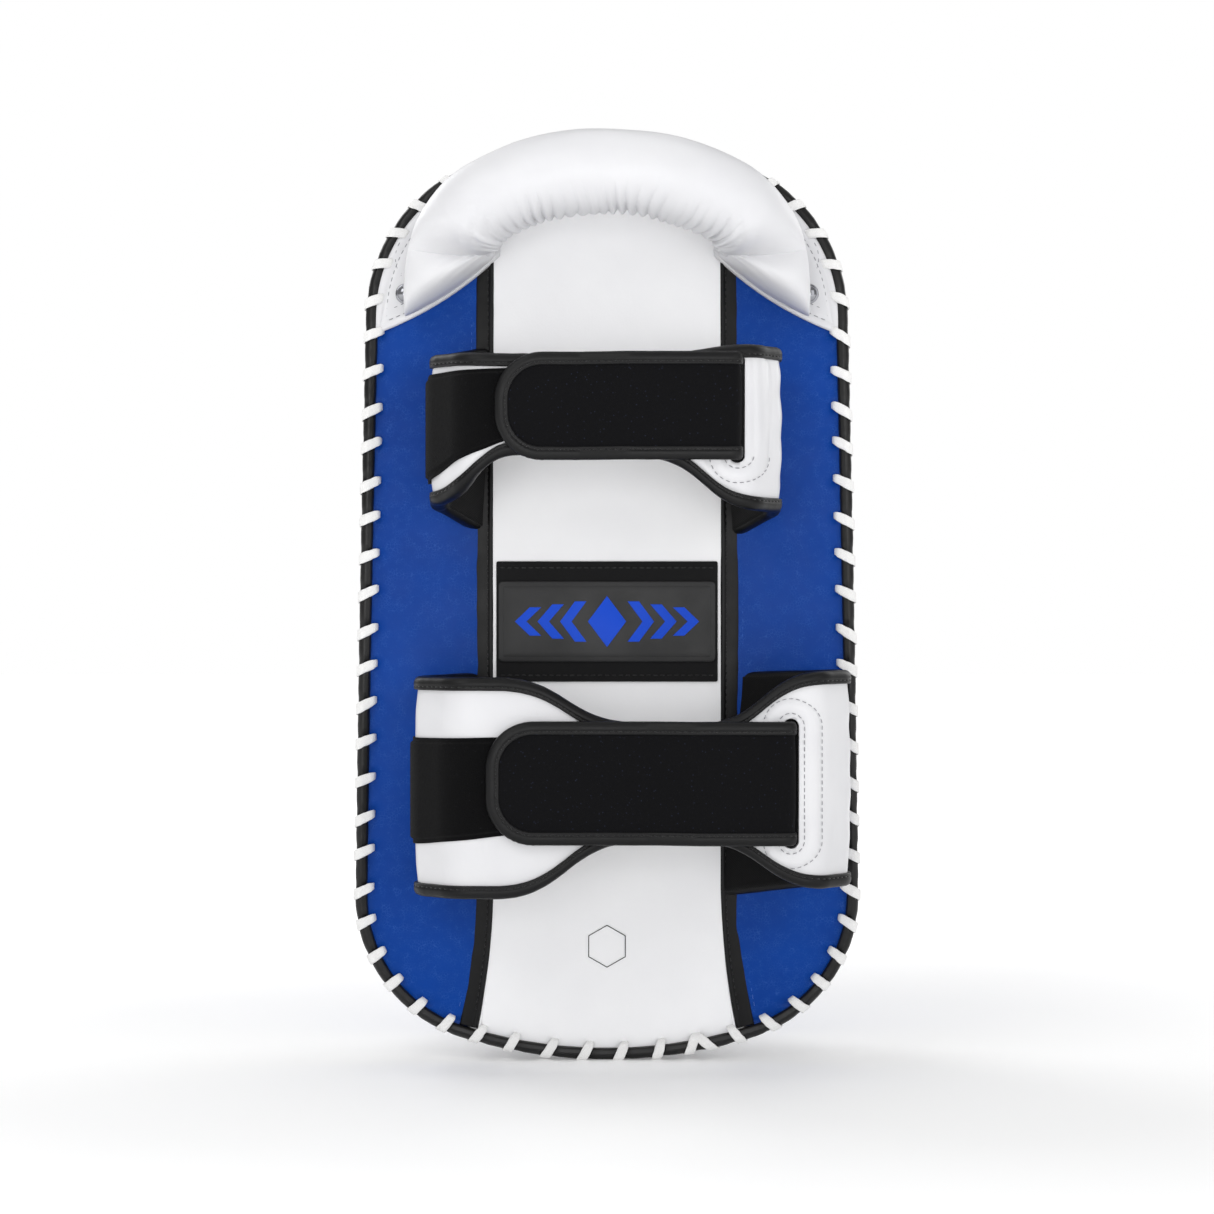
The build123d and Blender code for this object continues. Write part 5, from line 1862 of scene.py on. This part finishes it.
def build_strap(strap_name, strap):
    band = strap_band(strap)
    middle = (strap["low"] + strap["high"]) / 2
    half_height = (strap["high"] - strap["low"]) / 2
    tip_run = band.run_where(strap["tip_x"])
    half = strap_thickness / 2
    body = f"{strap_name}_strap"

    def finish_piece(thing, slot, *nodes):
        thing.parent = None
        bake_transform(thing)
        if nodes:
            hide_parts(*nodes)

    def height_at(run, inset):
        past = np.clip(run - (tip_run - tip_r), 0, tip_r - inset)
        corner = tip_r - inset
        return half_height - inset - corner + np.sqrt(np.maximum(corner**2 - past**2, 0))

    inset = 2.6
    near_tip = tip_run - inset - tip_r * (1 - np.sin(np.linspace(0, pi / 2, 40)))
    runs = np.concatenate([np.linspace(0, tip_run - tip_r - 0.5, 110), near_tip[near_tip > tip_run - tip_r]])
    reach = height_at(runs, inset)
    seed = 91 if strap_name == "upper" else 95

    def outer(run, share, z):
        edge = np.minimum(share, 1 - share)
        cushion = 0.55 * smoothstep(edge, 0.02, 0.3)
        ridge = 0.3 * bump(edge - 0.055, 0.02)
        uneven = 0.16 * wander(run / 11, z / 14, seed=seed) + 0.05 * wander(run / 4, z / 5, seed=seed + 1)
        return half - 0.45 + cushion + ridge + uneven

    def inner(run, share, z):
        return -half + 0.25 + 0.05 * wander(run / 11, z / 14, seed=seed)

    tab = band_shell(band, runs, middle - reach, middle + reach, outer, inner, mat["neoprene"],
                     f"{strap_name}_strap_face", rows=44)
    finish_piece(tab, "neoprene", f"{strap_name}_strap_tab")

    # the binding follows the strap's edge: along the bottom, round the tip, and back along the top
    corner = tip_r
    straight = np.linspace(0, tip_run - corner, 90)
    turn = np.linspace(-pi / 2, 0, 26)[1:]
    low_curve = [(tip_run - corner + corner * cos(angle), -(half_height - corner) + corner * sin(angle))
                 for angle in turn]
    border = [(place, -half_height) for place in straight] + low_curve
    border += [(run, -z) for run, z in border[::-1]]
    border = np.array(border)
    tangent = np.gradient(border, axis=0)
    tangent /= np.linalg.norm(tangent, axis=1)[:, None]
    inward = np.stack([-tangent[:, 1], tangent[:, 0]], 1)
    width = binding_width
    t = half + 0.75
    profile = np.array([(width, t - 0.5), (width - 0.3, t - 0.1), (width - 1.0, t), (width - 1.5, t - 0.28),
                        (width - 1.9, t - 0.02), (3.0, t + 0.12), (1.5, t - 0.1), (0.5, t - 0.6),
                        (-0.05, t - 1.3),
                        (-0.2, 0.0), (-0.05, -t + 1.3), (0.5, -t + 0.6), (1.5, -t + 0.1),
                        (width - 1.0, -t + 0.2),
                        (width, -t + 0.6), (width, 0.0)])
    length = run_along(border)
    low_bend = bump(length - (tip_run - corner + 14), 15)
    pucker = 0.35 * low_bend * np.sin(length * 2 * pi / 3.1)
    uneven = 0.12 * wander(length / 4.5, seed=seed + 2) + pucker
    rings = np.zeros((len(border), len(profile), 3))
    for index, (depth, offset) in enumerate(profile):
        place_run = border + inward * (depth + uneven[:, None] * 0.4)
        rings[:, index] = band.at(place_run[:, 0], middle + place_run[:, 1],
                                  offset + uneven * np.sign(offset) * 0.6)
    edge = ring_sweep(f"{strap_name}_strap_edge", rings, mat["binding"], closed=False, caps=True)
    finish_piece(edge, "black_binding", f"{strap_name}_strap_binding")
    line_flat = border + inward * (width - 1.5)
    line = band.at(line_flat[:, 0], middle + line_flat[:, 1], t - 0.14)
    points, faces = stitch_row(line, band.normal(line_flat[:, 0]), *EDGE_STITCH)
    finish_piece(make(f"{strap_name}_strap_stitches", points, faces, mat["black_thread"]), "black_binding")

    hook_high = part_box(f"{strap_name}_hook_tape")[1]
    hook_start = band.run_where(hook_high.x / MM)
    hook_inset = 6.4
    hook_tip = tip_run - hook_inset
    near_tip = hook_tip - (tip_r - hook_inset) * (1 - np.sin(np.linspace(0, pi / 2, 30)))
    straight = np.linspace(hook_start, tip_run - tip_r - 0.3, 40)
    hook_runs = np.concatenate([straight, near_tip[near_tip > tip_run - tip_r]])
    reach = height_at(hook_runs, hook_inset)

    def hook_back(run, share, z):
        return -half - hook_thickness + 0.06 * np.sin(run * 5.2) * np.sin(z * 5.2)

    hooks = band_shell(band, hook_runs, middle - reach, middle + reach,
                       lambda run, share, z: -half + 0.1,
                       hook_back, mat["hook"], f"{strap_name}_hook_field", rows=44)
    dress(hooks, body, "hook_tape", f"{strap_name}_hook_tape")


def strap_feed(strap_name, strap):
    """The strap between the left cuff and the slot: a flat woven band."""
    cuff = cuffs[f"{strap_name}_cuff_left"]
    slot_x = strap["slot_x"]
    route = [(cuff["end_x"] - 1.0, left_standoff), (slot_x, left_standoff), (slot_x, strap_standoff - 2.6)]
    band = Band(route, 3.0, 1)
    runs = np.linspace(0, band.length, 70)
    low = np.full(len(runs), strap["low"] + webbing_inset)
    high = np.full(len(runs), strap["high"] - webbing_inset)
    feed = band_shell(band, runs, low, high,
                      lambda run, share, z: webbing_half + 0.08 * np.sin(z * 2 * pi / webbing_rib),
                      lambda run, share, z: -webbing_half + 0.08 * np.sin(z * 2 * pi / webbing_rib),
                      mat["webbing"], f"{strap_name}_feed_band", rows=60)
    dress(feed, PAD, "webbing", f"{strap_name}_strap_feed")


for strap_name, strap in straps.items():
    loop_tape(strap_name, strap)
    build_strap(strap_name, strap)
    strap_feed(strap_name, strap)


# ---------------------------------------------------------------- pieces that keep their CAD shape
hidden_finish = {"foam_backing": "foam", "foam_core": "foam", "foam_middle": "foam", "rivet_posts": "steel",
                 "rivet_washers": "steel"}
for node_name, finish in hidden_finish.items():
    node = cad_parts[node_name]
    node.data.materials.clear()
    node.data.materials.append(mat[finish])


# ---------------------------------------------------------------- floor, light and camera
def floor():
    """A white studio floor. It glows a little, more so further away, to run into the white backdrop."""
    size = 9.0
    corners = np.array([(-size, -size, 0), (size, -size, 0), (size, size, 0), (-size, size, 0)])
    thing = make("floor", corners / MM, [[0, 1, 2, 3]], None)
    material, tree, shader = start_material("studio_floor")
    where = place(tree)
    base = mix_colours(tree, noise(tree, where, 3.0), colour(252, 252, 252), colour(250, 250, 250))
    tree.links.new(base, shader.inputs["Base Color"])
    shader.inputs["Roughness"].default_value = 0.6
    shader.inputs["Specular IOR Level"].default_value = 0.1
    near, far = (0.3, 0.10), (1.6, 0.66)     # distance and glow
    away = put(tree, "ShaderNodeVectorMath", {0: where}, operation="LENGTH").outputs["Value"]
    shader.inputs["Emission Color"].default_value = (1.0, 1.0, 1.0, 1.0)
    tree.links.new(spread(tree, away, near[0], far[0], near[1], far[1]), shader.inputs["Emission Strength"])
    thing.data.materials.append(material)


def lamp(name, place_at, size, power):
    """A rectangular soft box aimed at the pad. Places and sizes in metres, power in watts."""
    data = bpy.data.lights.new(name, "AREA")
    data.shape = "RECTANGLE"
    data.size, data.size_y = size
    data.energy = power
    thing = bpy.data.objects.new(name, data)
    view_scene.collection.objects.link(thing)
    thing.location = place_at
    thing.rotation_euler = (Vector(lamp_aim) - Vector(place_at)).to_track_quat("-Z", "Y").to_euler()


lamp_aim = (0, 0, 0.2)
floor()
centre_z = (cad_low.z + cad_high.z) / 2
lamp("key", (-1.1, -1.7, 1.7), (1.3, 1.3), 13)
lamp("fill", (1.6, -1.5, 0.9), (1.4, 1.4), 7)
lamp("front", (0.0, -2.2, 0.25), (1.8, 1.0), 15)
lamp("top", (0.0, 0.1, 2.2), (1.8, 1.8), 10)
lamp("back_left", (-1.4, 1.7, 1.4), (1.3, 1.3), 17)
lamp("back_right", (1.5, 1.5, 1.0), (1.2, 1.2), 9)

world = bpy.data.worlds.new("studio")
view_scene.world = world
world.use_nodes = True
backdrop_light = 1.0             # what the backdrop looks like, and how much it lights the pad
room_light = 0.42
camera_ray = put(world.node_tree, "ShaderNodeLightPath").outputs["Is Camera Ray"]
strength = spread(world.node_tree, camera_ray, 0.0, 1.0, room_light, backdrop_light)
world.node_tree.links.new(strength, world.node_tree.nodes["Background"].inputs["Strength"])
world.node_tree.nodes["Background"].inputs["Color"].default_value = (1.0, 1.0, 1.0, 1.0)
view_scene.view_settings.view_transform = "Standard"

lens = 101.5
stand_back = 1.52
camera_drop = 0.003
camera = bpy.data.cameras.new("camera")
camera.lens = lens
camera.sensor_width = 36.0
camera_thing = bpy.data.objects.new("camera", camera)
view_scene.collection.objects.link(camera_thing)
camera_thing.location = (0, cad_low.y - stand_back, centre_z - camera_drop)
camera_thing.rotation_euler = (radians(90.0), 0, 0)
view_scene.camera = camera_thing
